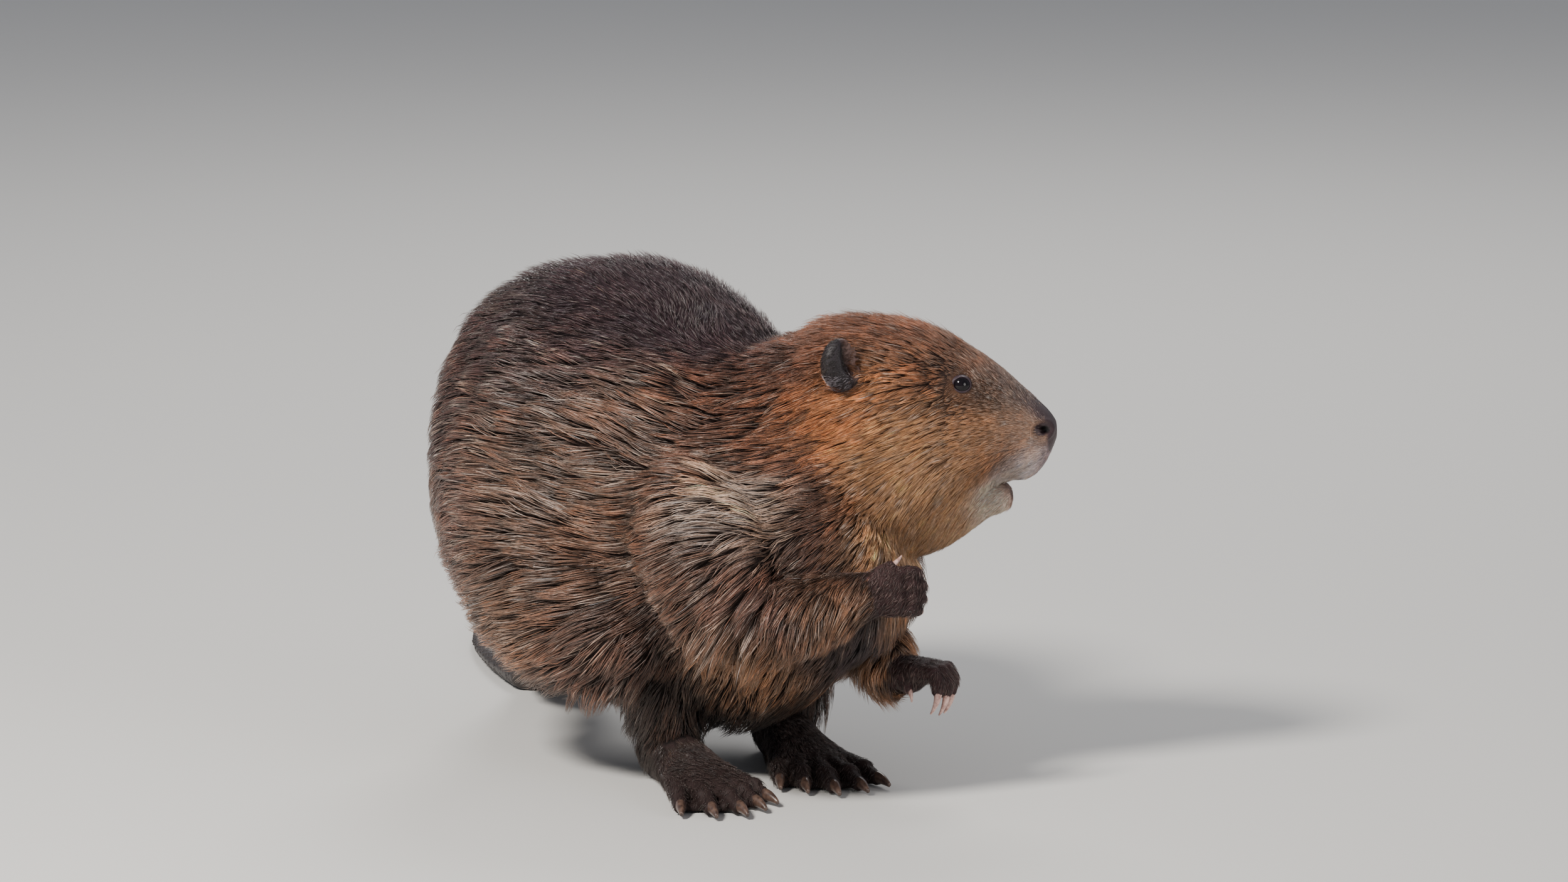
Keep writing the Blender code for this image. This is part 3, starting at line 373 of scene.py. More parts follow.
def fore_paw(name, wrist, f, d, t, angles, droop, thumb_angles, hand=2.35, straighter=0.0):
    wrist, f = Vector(wrist), unit(f)
    t = unit(Vector(t) - f * f.dot(Vector(t)))
    d = unit(Vector(d) - f * f.dot(Vector(d)) - t * t.dot(Vector(d)))
    knuckle = wrist + f * hand
    palm = [
        (*(wrist - f * 1.4), 1.15, 1.05), (*(wrist - f * 0.5), 1.22, 1.05), (*(wrist + f * 0.5), 1.28, 0.98),
        (*(wrist + f * (hand - 0.75)), 1.52, 0.88), (*(wrist + f * (hand + 0.15)), 1.45, 0.60),
    ]
    pieces = [limb_loft(palm, count=14, segments=28, lift=tuple(d), square=2.2)]
    pieces.append(ball(wrist + f * 0.8 - d * 0.72 - t * 0.25, (0.72, 0.55, 0.66), (f, d, t)))
    pieces.append(ball(wrist + f * 1.35 - d * 0.70 + t * 0.45, (0.62, 0.45, 0.52), (f, d, t)))
    for i in range(4):
        off = 1.17 - 0.78 * i
        reach = (0.93, 1.05, 1.03, 0.86)[i]
        thick = (0.43, 0.46, 0.46, 0.42)[i] * 0.94
        p = knuckle - f * 0.45 + t * off
        pieces.append(limb_loft([(*(p - f * 1.1 - t * off * 0.25), 0.22, 0.30), (*(p + d * 0.16), thick * 0.9, thick * 1.1)], count=8, segments=14, lift=tuple(t)))
        points, radii = [p], [thick * 1.08]
        for angle, length, r in zip(angles, (1.25, 0.85, 0.65), (thick * 1.05, thick, thick * 0.86)):
            p = p + bend(f, d, t, angle, droop * (len(points) / 3)) * (length * reach)
            points.append(p)
            radii.append(r)
        rows = [(*q, r, r * 0.95) for q, r in zip(points, radii)]
        pieces.append(limb_loft(rows, count=20, segments=18, lift=tuple(t), ends=(0, 0.12)))
        for q, r in zip(points[:3], radii[:3]):      # the knuckles stand a little proud
            pieces.append(ball(q + d * 0.07, (r * 1.12,) * 3, (f, d, t), 20, 14))
        last = angles[-1] - straighter
        tip = bend(f, d, t, last + 4, droop)
        start = points[-1] - tip * 0.22 + bend(f, d, t, last - 90, 0) * 0.10
        claw(f"{name}_{i + 2}", start, tip, bend(f, d, t, last + 90, 0), 1.62, 0.255, 0.05, 42, t)
        pieces.append(ball(start + tip * 0.02 + bend(f, d, t, last - 90, 0) * 0.03, (0.36, 0.33, 0.34), (f, d, t), 20, 14))
    base = wrist + f * 0.75 + t * 1.1
    ahead = bend(f, d, t, thumb_angles[0], thumb_angles[1])
    tip = base + ahead * 1.15
    pieces.append(limb_loft([(*base, 0.48, 0.5), (*(base + ahead * 0.6), 0.42, 0.42), (*tip, 0.34, 0.34)], count=10, segments=16, lift=tuple(d), ends=(0, 0.12)))
    claw(f"{name}_1", tip - ahead * 0.15, ahead, bend(f, d, t, thumb_angles[0] + 80, thumb_angles[1]), 0.93, 0.19, 0.04, 40, d)
    return pieces


def hind_foot(side, heel, yaw):
    a = math.radians(yaw)
    f, out = Vector((math.cos(a), math.sin(a), 0)), Vector((-math.sin(a), math.cos(a), 0))
    if side == "right":
        out = -out
    heel = Vector(heel)
    at = lambda along, across, z: heel + f * along + out * across + Vector((0, 0, z))
    sole = [
        (*at(-0.9, 0, 1.6), 1.0, 1.2), (*at(0.6, 0, 1.75), 1.55, 2.0), (*at(3.4, 0.0, 1.55), 1.65, 1.9),
        (*at(6.4, 0.1, 1.15), 2.1, 1.45), (*at(8.8, 0.2, 0.85), 2.6, 1.1), (*at(9.9, 0.2, 0.7), 2.5, 0.8),
    ]
    pieces = [limb_loft(sole, count=24, segments=28)]
    tips = []
    for i in range(5):
        across = (-1.75, -0.85, 0.1, 1.05, 1.9)[i]
        turn = math.radians((-13, -6, 1, 9, 19)[i])
        length = (3.9, 5.0, 5.9, 5.9, 5.0)[i]
        thick = (0.50, 0.56, 0.64, 0.64, 0.58)[i]
        way = f * math.cos(turn) + out * math.sin(turn)
        base = at(8.2 - 0.25 * abs(i - 2), across, 0.80)
        rows = [
            (*base, thick, 0.78), (*(base + way * length * 0.35 + Vector((0, 0, 0.12))), thick, 0.70),
            (*(base + way * length * 0.7 - Vector((0, 0, 0.06))), thick * 0.9, 0.60), (*(base + way * length - Vector((0, 0, 0.28))), thick * 0.75, 0.44),
        ]
        pieces.append(limb_loft(rows, count=18, segments=16, ends=(0, 0.15)))
        for share, size in ((0.34, 1.10), (0.68, 1.04)):      # joints of the toe
            pieces.append(ball(base + way * length * share + Vector((0, 0, 0.16)), (thick * size,) * 2 + (0.58,), (way, out, UP), 20, 14))
        tendon = at(5.0, across * 0.42, 1.95)
        pieces.append(limb_loft([(*tendon, 0.22, 0.40), (*(base + way * 0.6 + Vector((0, 0, 0.30))), 0.34, 0.50)], count=10, segments=12))
        tip = base + way * (length - 0.1)
        tip.z = 0.62
        claw(f"{side}_hind_{i + 1}", tip, way, (0, 0, -1), 1.43, 0.34, 0.12, 24)
        tips.append((base, base + way * length * 0.9))
    for (b0, e0), (b1, e1) in zip(tips, tips[1:]):
        rows = []
        for k in range(5):
            u = k / 4
            left, right = b0.lerp(e0, u * 0.93), b1.lerp(e1, u * 0.93)
            mid = (left + right) / 2
            mid.z = 0.32
            rows.append((*mid, max((left - right).length / 2, 0.3), 0.22))
        pieces.append(limb_loft(rows, count=12, segments=12, square=3.0))
    return pieces


def tail_paddle():
    swing = math.radians(TAIL_SWING)
    back = Vector((-math.cos(swing), math.sin(swing), 0))
    start = Vector((-24.6, 9.6, 0))
    rows = []
    for k in range(17):
        u = k / 16
        width = TAIL_WIDTH / 2 * (0.46 + 0.54 * math.sin(math.pi * min(u / 0.62, 1.0) / 2) ** 0.9)
        if u > 0.62:
            width = TAIL_WIDTH / 2 * max(1 - ((u - 0.62) / 0.38) ** 2.6, 0.0) ** 0.5
        thick = TAIL_THICK / 2 * (1.05 - 0.62 * u)
        p = start + back * (TAIL_LENGTH * min(u, 0.985))
        rows.append((p.x, p.y, thick * 0.85, max(width, 1.4), max(thick, 0.32)))
    return limb_loft(rows, count=60, segments=48, square=2.3)


EARS = {}


def ear(side, sign):
    """A thick round flap, hollow in front, its rear rim the thickest."""
    out = OUT * sign
    tilt = math.radians(28)
    face = (out * math.cos(tilt) + AHEAD * math.sin(tilt)).normalized()
    along = (AHEAD * math.cos(tilt) - out * math.sin(tilt)).normalized()
    rise = (UP * 0.97 - along * 0.22).normalized()
    rise = (rise - face * face.dot(rise)).normalized()
    along = rise.cross(face) * (1 if rise.cross(face).dot(AHEAD) > 0 else -1)
    centre = head_point(EAR_S, sign * EAR_W, EAR_Z - (FAR_EAR_DROP if sign < 0 else 0)) + face * 0.35
    EARS[side] = (np.array(centre), np.array(along), np.array(face), np.array(rise))
    bm = bmesh.new()
    bmesh.ops.create_uvsphere(bm, u_segments=64, v_segments=44, radius=1.0)
    for v in bm.verts:
        a, f, r = v.co.x, v.co.y, v.co.z
        if f > 0:
            d = math.hypot((min(a, 0.40) - 0.40) / 0.62, (r - 0.22) / 0.80)
            dip = 1 - float(step(0.55, 1.05, d))
            f = f * (1 - 1.55 * dip) - 0.25 * float(step(0.55, 1.0, a))
            f += 0.30 * math.exp(-((a - 0.30) / 0.13) ** 2 - ((r - 0.30) / 0.10) ** 2) + 0.34 * math.exp(-((a - 0.60) / 0.14) ** 2 - ((r + 0.06) / 0.11) ** 2)
        v.co = world(centre + along * (a * 1.40) + face * (f * 0.80) + rise * (r * 1.72))
    bmesh.ops.recalc_face_normals(bm, faces=bm.faces)
    if bm.calc_volume(signed=True) < 0:
        bmesh.ops.reverse_faces(bm, faces=bm.faces)
    return bm


# ---------------------------------------------------------------- mesh helpers
def evaluated(obj):
    graph = bpy.context.evaluated_depsgraph_get()
    graph.update()
    return bpy.data.meshes.new_from_object(obj.evaluated_get(graph))


def apply_all(obj):
    mesh = evaluated(obj)
    old = obj.data
    obj.modifiers.clear()
    obj.data = mesh
    bpy.data.meshes.remove(old)
    return obj


def points_of(mesh):
    co = np.empty(len(mesh.vertices) * 3, np.float32)
    mesh.vertices.foreach_get("co", co)
    return co.reshape(-1, 3).astype(float)


def normals_of(mesh):
    no = np.empty(len(mesh.vertices) * 3, np.float32)
    mesh.vertex_normals.foreach_get("vector", no)
    return no.reshape(-1, 3).astype(float)


def triangles_of(mesh):
    mesh.calc_loop_triangles()
    t = np.empty(len(mesh.loop_triangles) * 3, np.int32)
    mesh.loop_triangles.foreach_get("vertices", t)
    return t.reshape(-1, 3)


def tree_of(co, tris):
    return BVHTree.FromPolygons([tuple(p) for p in co], [tuple(int(i) for i in t) for t in tris])


def decimated(obj, triangles, group=None):
    n = len(triangles_of(obj.data))
    if n > triangles:
        m = obj.modifiers.new("fewer", "DECIMATE")
        m.ratio = triangles / n
        if group:
            m.vertex_group = group
        apply_all(obj)
    return obj


# ---------------------------------------------------------------- the flesh nodes as one surface: the tips of the coat
FLESH = [n for n in frame["nodes"] if "claw" not in n and not n.endswith("_eye")]
CLAWS = [n for n in frame["nodes"] if "claw" in n]
outer_co, outer_tris, outer_label = [], [], []
base = 0
for k, n in enumerate(FLESH):
    mesh = frame["nodes"][n].data
    co, tris = points_of(mesh), triangles_of(mesh)
    outer_co.append(co)
    outer_tris.append(tris + base)
    outer_label += [k] * len(tris)
    base += len(co)
outer_co, outer_tris, outer_label = np.concatenate(outer_co), np.concatenate(outer_tris), np.array(outer_label)
OUTER = tree_of(outer_co, outer_tris)
INDEX = {n: k for k, n in enumerate(FLESH)}


def nearest_node(co):
    """For each point its nearest flesh node and the distance to that node's surface, in metres."""
    label, far = np.empty(len(co), int), np.empty(len(co))
    for i, p in enumerate(co):
        _, _, face, d = OUTER.find_nearest(p)
        label[i], far[i] = outer_label[face], d
    return label, far


# ---------------------------------------------------------------- skin
bm = bmesh.new()
for piece in [
    body_loft(TRUNK), body_loft(NECK, 20, 40), head_loft(HEAD), head_loft(JAW, 30, 44),
    limb_loft(RIGHT_THIGH), limb_loft(LEFT_THIGH), limb_loft(RIGHT_SHANK), limb_loft(LEFT_SHANK),
    limb_loft(RIGHT_UPPER_ARM), limb_loft(RIGHT_FOREARM), limb_loft(LEFT_UPPER_ARM), limb_loft(LEFT_FOREARM),
    limb_loft(TAIL_ROOT), tail_paddle(), ear("right", 1), ear("left", -1),
    *fore_paw("right_fore", (16.2, -2.15, 13.75), (0.60, 0.80, 0.06), (0.80, -0.60, 0.0), (0, 0, 1), (12, 46, 66), 18, (8, -27), 2.0, 16),
    *fore_paw("left_fore", (12.6, 4.3, 7.2), (0.93, 0.30, 0.22), (-0.10, 0.25, 0.96), (0.55, -0.80, 0.1), (10, 64, 106), -6, (60, -10), 2.35, 12),
    *hind_foot("right", (-1.0, -3.6, 0), -22), *hind_foot("left", (-0.6, 6.4, 0), -30),
]:
    temporary = bpy.data.meshes.new("t")
    piece.to_mesh(temporary)
    piece.free()
    bm.from_mesh(temporary)
    bpy.data.meshes.remove(temporary)
mesh = bpy.data.meshes.new("skin")
bm.to_mesh(mesh)
bm.free()
skin = new_object("skin", mesh)
m = skin.modifiers.new("remesh", "REMESH")
m.mode = "VOXEL"
m.voxel_size = SKIN_VOXEL * 0.01
m = skin.modifiers.new("smooth", "SMOOTH")
m.factor, m.iterations = 0.5, 4
apply_all(skin)

co = points_of(skin.data)
P = design(co)
label, _ = nearest_node(co)
names = np.array(FLESH)[label]
body_like = np.isin(names, [n for n in FLESH if not any(k in n for k in ("head", "muzzle", "jaw", "nose", "ear", "paw", "foot", "tail"))]) & (P[:, 2] > 2.6)
group = skin.vertex_groups.new(name="body")
group.add([int(i) for i in np.where(body_like)[0]], 1.0, "REPLACE")
m = skin.modifiers.new("creases", "SMOOTH")
m.factor, m.iterations, m.vertex_group = 0.5, 95, "body"
apply_all(skin)
skin.vertex_groups.clear()
H = head_coords(design(points_of(skin.data)))             # the corner of the mouth is closed, so no crease behind the lips
closed = (H[:, 0] > 14.8) & (H[:, 0] < 18.95) & (H[:, 2] > 18.0) & (H[:, 2] < 20.7) | (H[:, 0] > 15.4) & (H[:, 0] < 18.45) & (H[:, 2] > 16.9) & (H[:, 2] < 18.4)
group = skin.vertex_groups.new(name="lips")
group.add([int(i) for i in np.where(closed)[0]], 1.0, "REPLACE")
m = skin.modifiers.new("lips", "SMOOTH")
m.factor, m.iterations, m.vertex_group = 0.5, 95, "lips"
apply_all(skin)
skin.vertex_groups.clear()

co = points_of(skin.data)
P = design(co)
H = head_coords(P)
flat = P[:, 2] < 0.02
label, _ = nearest_node(co[::1]) if len(co) < 400000 else nearest_node(co)
names = np.array(FLESH)[label]
fine = np.char.find(names.astype(str), "paw") >= 0
fine |= np.char.find(names.astype(str), "ear") >= 0
fine |= (H[:, 0] > 13.5) & np.isin(names, ("head", "muzzle", "lower_jaw", "nose_pad"))
group = skin.vertex_groups.new(name="coarse")
group.add([int(i) for i in np.where(~fine)[0]], 1.0, "REPLACE")
decimated(skin, 150000, "coarse")
skin.vertex_groups.clear()

# finer faces on the nose, lips and round the eyes
bm = bmesh.new()
bm.from_mesh(skin.data)
centres = np.array([f.calc_center_median() for f in bm.faces])
h = head_coords(design(centres))
near_eye = np.hypot(h[:, 0] - EYE_S, h[:, 2] - EYE_Z) < 1.3
pick = ((h[:, 0] > 19.6) & (h[:, 2] > 19.0) & (h[:, 2] < 25.6) & (np.abs(h[:, 1]) < 3.6)) | (near_eye & (np.abs(h[:, 1]) > 2.2) & (np.abs(h[:, 1]) < 4.6))
edges = {e for f, yes in zip(bm.faces, pick) if yes for e in f.edges}
bmesh.ops.subdivide_edges(bm, edges=list(edges), cuts=1, use_grid_fill=True, smooth=0.0)
bmesh.ops.triangulate(bm, faces=[f for f in bm.faces if len(f.verts) > 4])
bm.to_mesh(skin.data)
bm.free()


# ---------------------------------------------------------------- sculpt the head on the skin
EYE_AXIS = {side: unit(AHEAD * 0.16 + OUT * (0.96 * sign) + UP * 0.20) for side, sign in (("right", 1), ("left", -1))}
co = points_of(skin.data)
no = normals_of(skin.data)
P = design(co)
H = head_coords(P)
s, w, z = H[:, 0], np.abs(H[:, 1]), H[:, 2]
for side, sign in (("right", 1), ("left", -1)):          # the orbit stands up round each eye
    centre = np.array(head_point(EYE_S, sign * EYE_W, EYE_Z))
    axis = np.array(EYE_AXIS[side])
    rel = P - centre
    along = rel @ axis
    d = np.linalg.norm(rel - along[:, None] * axis, axis=1)
    near = (d < 3.2) & (np.linalg.norm(rel, axis=1) < 3.6) & (s > 12)
    push = 0.57 * np.exp(-(d / 1.35) ** 3) - 0.30 * np.exp(-(d / 0.50) ** 4)
    push += 0.10 * np.exp(-(((H[:, 0] - 15.3) / 1.6) ** 2) - ((H[:, 2] - 27.1) / 0.5) ** 2)
    P = P + np.where(near, push, 0)[:, None] * axis
head = (s > 15) & (z > 15.5)
sideways = head & (w > 0.6)


def carve(where, depth):
    """Moves skin inwards along its own normals, by depth in cm."""
    global P
    P = P - (np.where(where, depth, 0))[:, None] * no


def line_distance(a, b):
    """Distance in the head's side view from the line a-b, each (along, height)."""
    ax, az, bx, bz = *a, *b
    t = np.clip(((s - ax) * (bx - ax) + (z - az) * (bz - az)) / ((bx - ax) ** 2 + (bz - az) ** 2), 0, 1)
    return np.hypot(s - ax - t * (bx - ax), z - az - t * (bz - az))


nostril = np.hypot((s - 21.17 + 0.35 * (z - 22.92)) / 0.30, (z - 22.92) / 0.26)
tail_of = np.hypot((s - 20.86) / 0.22, (z - 23.16) / 0.12)
pit = np.maximum(1 - step(0.45, 1.15, nostril), 0.6 * (1 - step(0.4, 1.2, tail_of)))
wide = np.hypot((s - 20.95) / 0.62, (z - 22.88) / 0.50)
carve(sideways & (s > 20.2), 0.50 * pit + 0.07 * (1 - step(0.75, 1.15, wide)) - 0.07 * np.exp(-((wide - 1.22) / 0.22) ** 2))
front = head & (s > 20.9)
carve(front, 0.16 * np.exp(-(w / 0.10) ** 2) * (1 - step(22.1, 22.7, z)) * step(19.4, 19.9, z))
carve(head & (s > 20.6), 0.05 * np.exp(-(w / 0.14) ** 2) * step(22.4, 22.9, z))
lip = np.minimum(line_distance((19.25, 19.12), (18.25, 19.50)), line_distance((18.25, 19.50), (17.2, 19.72)))
carve(sideways & (w > 1.0), 0.05 * np.exp(-(lip / 0.10) ** 2) * (1 - step(0.4, 0.9, 19.2 - s)))
carve(sideways & (w > 1.2), 0.09 * np.exp(-(line_distance((18.56, 21.1), (17.95, 19.8)) / 0.09) ** 2))
co = world(P)
co[:, 2] = np.maximum(co[:, 2], 0.0)
skin.data.vertices.foreach_set("co", co.astype(np.float32).ravel())
skin.data.update()


# ---------------------------------------------------------------- lids: rims that follow the eyeball
def lids(side, sign):
    centre = head_point(EYE_S, sign * EYE_W, EYE_Z)
    axis = EYE_AXIS[side]
    across = unit(AHEAD - axis * axis.dot(AHEAD))
    up = unit(UP - axis * axis.dot(UP) - across * across.dot(UP))
    n = 72
    bm = bmesh.new()
    rings = []
    for extra, dz in ((-0.05, -0.12), (0.0, 0.015), (0.02, 0.035), (0.045, 0.035), (0.075, 0.015), (0.11, -0.03), (0.17, -0.12), (0.30, -0.36)):
        ring = []
        for k in range(n):
            th = 2 * math.pi * k / n
            c, s_ = math.cos(th), math.sin(th)
            x = 0.525 * math.copysign(abs(c) ** 1.06, c)
            y = (0.445 if s_ > 0 else 0.43) * math.copysign(abs(s_) ** 1.06, s_)
            r = math.hypot(x, y)
            grow = 0.72 + 0.95 * max(0.0, -c) ** 3 + 0.33 * max(0.0, -s_) ** 2   # thicker behind and below
            q = (r + extra * (grow if extra > 0 else 1)) / r
            depth = math.sqrt(max(EYE_R**2 - r * r, 0.01)) + dz
            if 0.05 < extra < 0.5:
                depth += 0.006 * math.sin(th * 9 + 1.3 * extra * 40)
            ring.append(bm.verts.new(world(centre + across * (x * q) + up * (y * q) + axis * depth)))
        rings.append(ring)
    for one, two in zip(rings, rings[1:]):
        for k in range(n):
            bm.faces.new((one[k], one[(k + 1) % n], two[(k + 1) % n], two[k]))
    bm.faces.new(rings[0][::-1])
    bm.faces.new(rings[-1])
    bmesh.ops.recalc_face_normals(bm, faces=bm.faces)
    if bm.calc_volume(signed=True) < 0:
        bmesh.ops.reverse_faces(bm, faces=bm.faces)
    return bm


bm = bmesh.new()
bm.from_mesh(skin.data)
skin_count = len(bm.verts)
for side, sign in (("right", 1), ("left", -1)):
    temporary = bpy.data.meshes.new("t")
    piece = lids(side, sign)
    piece.to_mesh(temporary)
    piece.free()
    bm.from_mesh(temporary)
    bpy.data.meshes.remove(temporary)
bm.to_mesh(skin.data)
bm.free()

# ---------------------------------------------------------------- carrier: a light copy of the skin that the coat grows from
carrier = new_object("carrier", skin.data.copy())
bm = bmesh.new()
bm.from_mesh(carrier.data)
bm.verts.ensure_lookup_table()
bmesh.ops.delete(bm, geom=bm.verts[skin_count:], context="VERTS")
bm.to_mesh(carrier.data)
bm.free()
decimated(carrier, 30000)
bpy.context.view_layer.objects.active = carrier
carrier.select_set(True)
bpy.ops.object.mode_set(mode="EDIT")
bpy.ops.mesh.select_all(action="SELECT")
bpy.ops.mesh.quads_convert_to_tris()
bpy.ops.uv.smart_project(angle_limit=math.radians(66), island_margin=0.003)
bpy.ops.object.mode_set(mode="OBJECT")
V = points_of(carrier.data)
N = normals_of(carrier.data)
T = triangles_of(carrier.data)
loops = np.empty(len(carrier.data.loop_triangles) * 3, np.int32)
carrier.data.loop_triangles.foreach_get("loops", loops)
uv = np.empty(len(carrier.data.loops) * 2, np.float32)
carrier.data.uv_layers.active.data.foreach_get("uv", uv)
TRI_UV = uv.reshape(-1, 2)[loops].reshape(-1, 3, 2)
CARRIER = tree_of(V, T)
v_label, depth = nearest_node(V)
v_name = np.array(FLESH)[v_label].astype(str)
VP = design(V)
VH = head_coords(VP)
edge_a = np.concatenate([T[:, 0], T[:, 1], T[:, 2]])
edge_b = np.concatenate([T[:, 1], T[:, 2], T[:, 0]])


def ease(values, times):
    """Spreads values over neighbouring points of the carrier."""
    values = np.array(values, float)
    one = values.ndim == 1
    if one:
        values = values[:, None]
    count = np.bincount(edge_a, minlength=len(V)) + np.bincount(edge_b, minlength=len(V))
    for _ in range(times):
        total = np.stack([np.bincount(edge_a, values[edge_b, c], len(V)) + np.bincount(edge_b, values[edge_a, c], len(V)) for c in range(values.shape[1])], 1)
        values = 0.5 * values + 0.5 * total / np.maximum(count, 1)[:, None]
    return values[:, 0] if one else values


on_head = ease(np.isin(v_name, ("head", "muzzle", "lower_jaw", "nose_pad")).astype(float), 6)


# ---------------------------------------------------------------- markings: colour, length and lie of the coat by named places
def srgb(r, g, b):
    c = np.array((r, g, b)) / 255.0
    return np.where(c <= 0.04045, c / 12.92, ((c + 0.055) / 1.055) ** 2.4)


# name, place (x, |y|, z) on the body or (along, |across|, z) on the head, reach, tip colour, root colour (partly
# painted shade deep in the coat), length mm, clumping, share of pale tips and painted glints
BODY_MARKS = (
    ("hump", (-6.0, 1.5, 32.0), 4.5, (70, 47, 55), (28, 18, 23), 8.5, 0.06, 0.0),
    ("hump side", (-4.0, 7.5, 29.0), 3.2, (72, 49, 55), (29, 19, 22), 10, 0.14, 0.02),
    ("hump front", (2.0, 1.0, 30.0), 3.0, (70, 48, 55), (29, 19, 23), 8.5, 0.08, 0.0),
    ("hump rear", (-14.0, 4.0, 28.5), 4.0, (72, 50, 53), (29, 19, 21), 12, 0.2, 0.02),
    ("upper flank", (-4.6, 9.8, 26.4), 2.6, (94, 66, 61), (34, 22, 23), 24, 0.44, 0.08),
    ("rump side", (-12.7, 9.8, 25.5), 3.2, (90, 63, 58), (34, 22, 22), 26, 0.42, 0.05),
    ("flank", (-3.8, 11.2, 22.8), 2.8, (118, 85, 70), (38, 25, 22), 36, 0.6, 0.17),
    ("fore flank", (1.5, 9.8, 22.4), 3.0, (122, 87, 69), (38, 25, 22), 37, 0.62, 0.2),
    ("neck base", (8.0, 6.6, 23.4), 2.6, (128, 84, 64), (38, 23, 19), 29, 0.6, 0.12),
    ("low flank", (-2.0, 12.2, 18.5), 3.0, (134, 99, 79), (42, 28, 25), 35, 0.54, 0.2),
    ("side of neck", (8.4, 4.6, 26.0), 2.2, (120, 76, 56), (38, 22, 18), 27, 0.62, 0.06),
    ("behind the ear", (10.2, 3.0, 26.3), 1.8, (122, 76, 54), (38, 22, 18), 22, 0.52, 0.03),
    ("nape", (8.2, 0.6, 28.6), 2.2, (102, 69, 58), (36, 23, 21), 18, 0.4, 0.04),
    # painted highlight: a bright patch of glints on the shoulder locks
    ("shoulder", (11.2, 7.6, 19.3), 1.9, (218, 186, 164), (42, 27, 24), 32, 0.62, 0.5),
    ("shoulder low", (13.4, 8.9, 15.6), 2.4, (113, 80, 70), (37, 25, 22), 30, 0.57, 0.12),
    ("upper arm", (11.0, 11.2, 14.6), 2.6, (125, 87, 69), (42, 29, 24), 30, 0.54, 0.14),
    ("elbow", (12.6, 9.8, 10.4), 2.0, (156, 112, 77), (53, 36, 26), 32, 0.54, 0.14),
    # darker: painted shade in the crease between head and shoulder
    ("throat side", (14.6, 3.1, 16.5), 1.8, (85, 56, 45), (31, 20, 17), 22, 0.41, 0.05),
    ("rump low", (-9.3, 13.2, 15.1), 3.0, (130, 95, 82), (44, 31, 27), 30, 0.41, 0.14),
    ("haunch rear", (-5.3, 13.3, 10.3), 3.0, (148, 112, 90), (50, 35, 29), 28, 0.37, 0.12),
    ("thigh top", (-0.4, 12.5, 14.1), 2.6, (133, 97, 78), (44, 30, 26), 30, 0.45, 0.12),
    ("thigh", (1.7, 11.4, 8.6), 2.8, (121, 87, 73), (40, 28, 25), 30, 0.46, 0.10),
    ("knee", (3.4, 8.2, 5.6), 2.2, (104, 79, 67), (28, 20, 18), 27, 0.44, 0.05),
    # near black: painted shade under the body
    ("belly", (3.0, 2.0, 4.5), 5.0, (45, 31, 27), (17, 11, 11), 26, 0.25, 0.0),
    ("rear", (-18.5, 3.0, 16.0), 4.5, (107, 76, 64), (37, 26, 22), 27, 0.37, 0.06),
    ("tail root", (-20.0, 6.0, 6.0), 4.0, (83, 57, 49), (31, 22, 19), 22, 0.33, 0.03),
    # near black: painted shade between the fore legs, under the head
    ("chest", (14.0, 0.5, 12.0), 2.6, (56, 41, 44), (18, 13, 15), 22, 0.36, 0.0),
    ("right forearm", (16.0, 4.2, 12.9), 1.8, (142, 102, 75), (46, 31, 25), 17, 0.41, 0.10),
    # lightened past the fur's own colour: painted light against the shade under the chest
    ("left forearm", (9.6, 4.6, 7.4), 2.2, (172, 128, 96), (58, 40, 31), 17, 0.41, 0.16),
    ("shank", (-1.5, 5.2, 4.0), 2.4, (54, 39, 36), (22, 15, 15), 14, 0.3, 0.02),
)
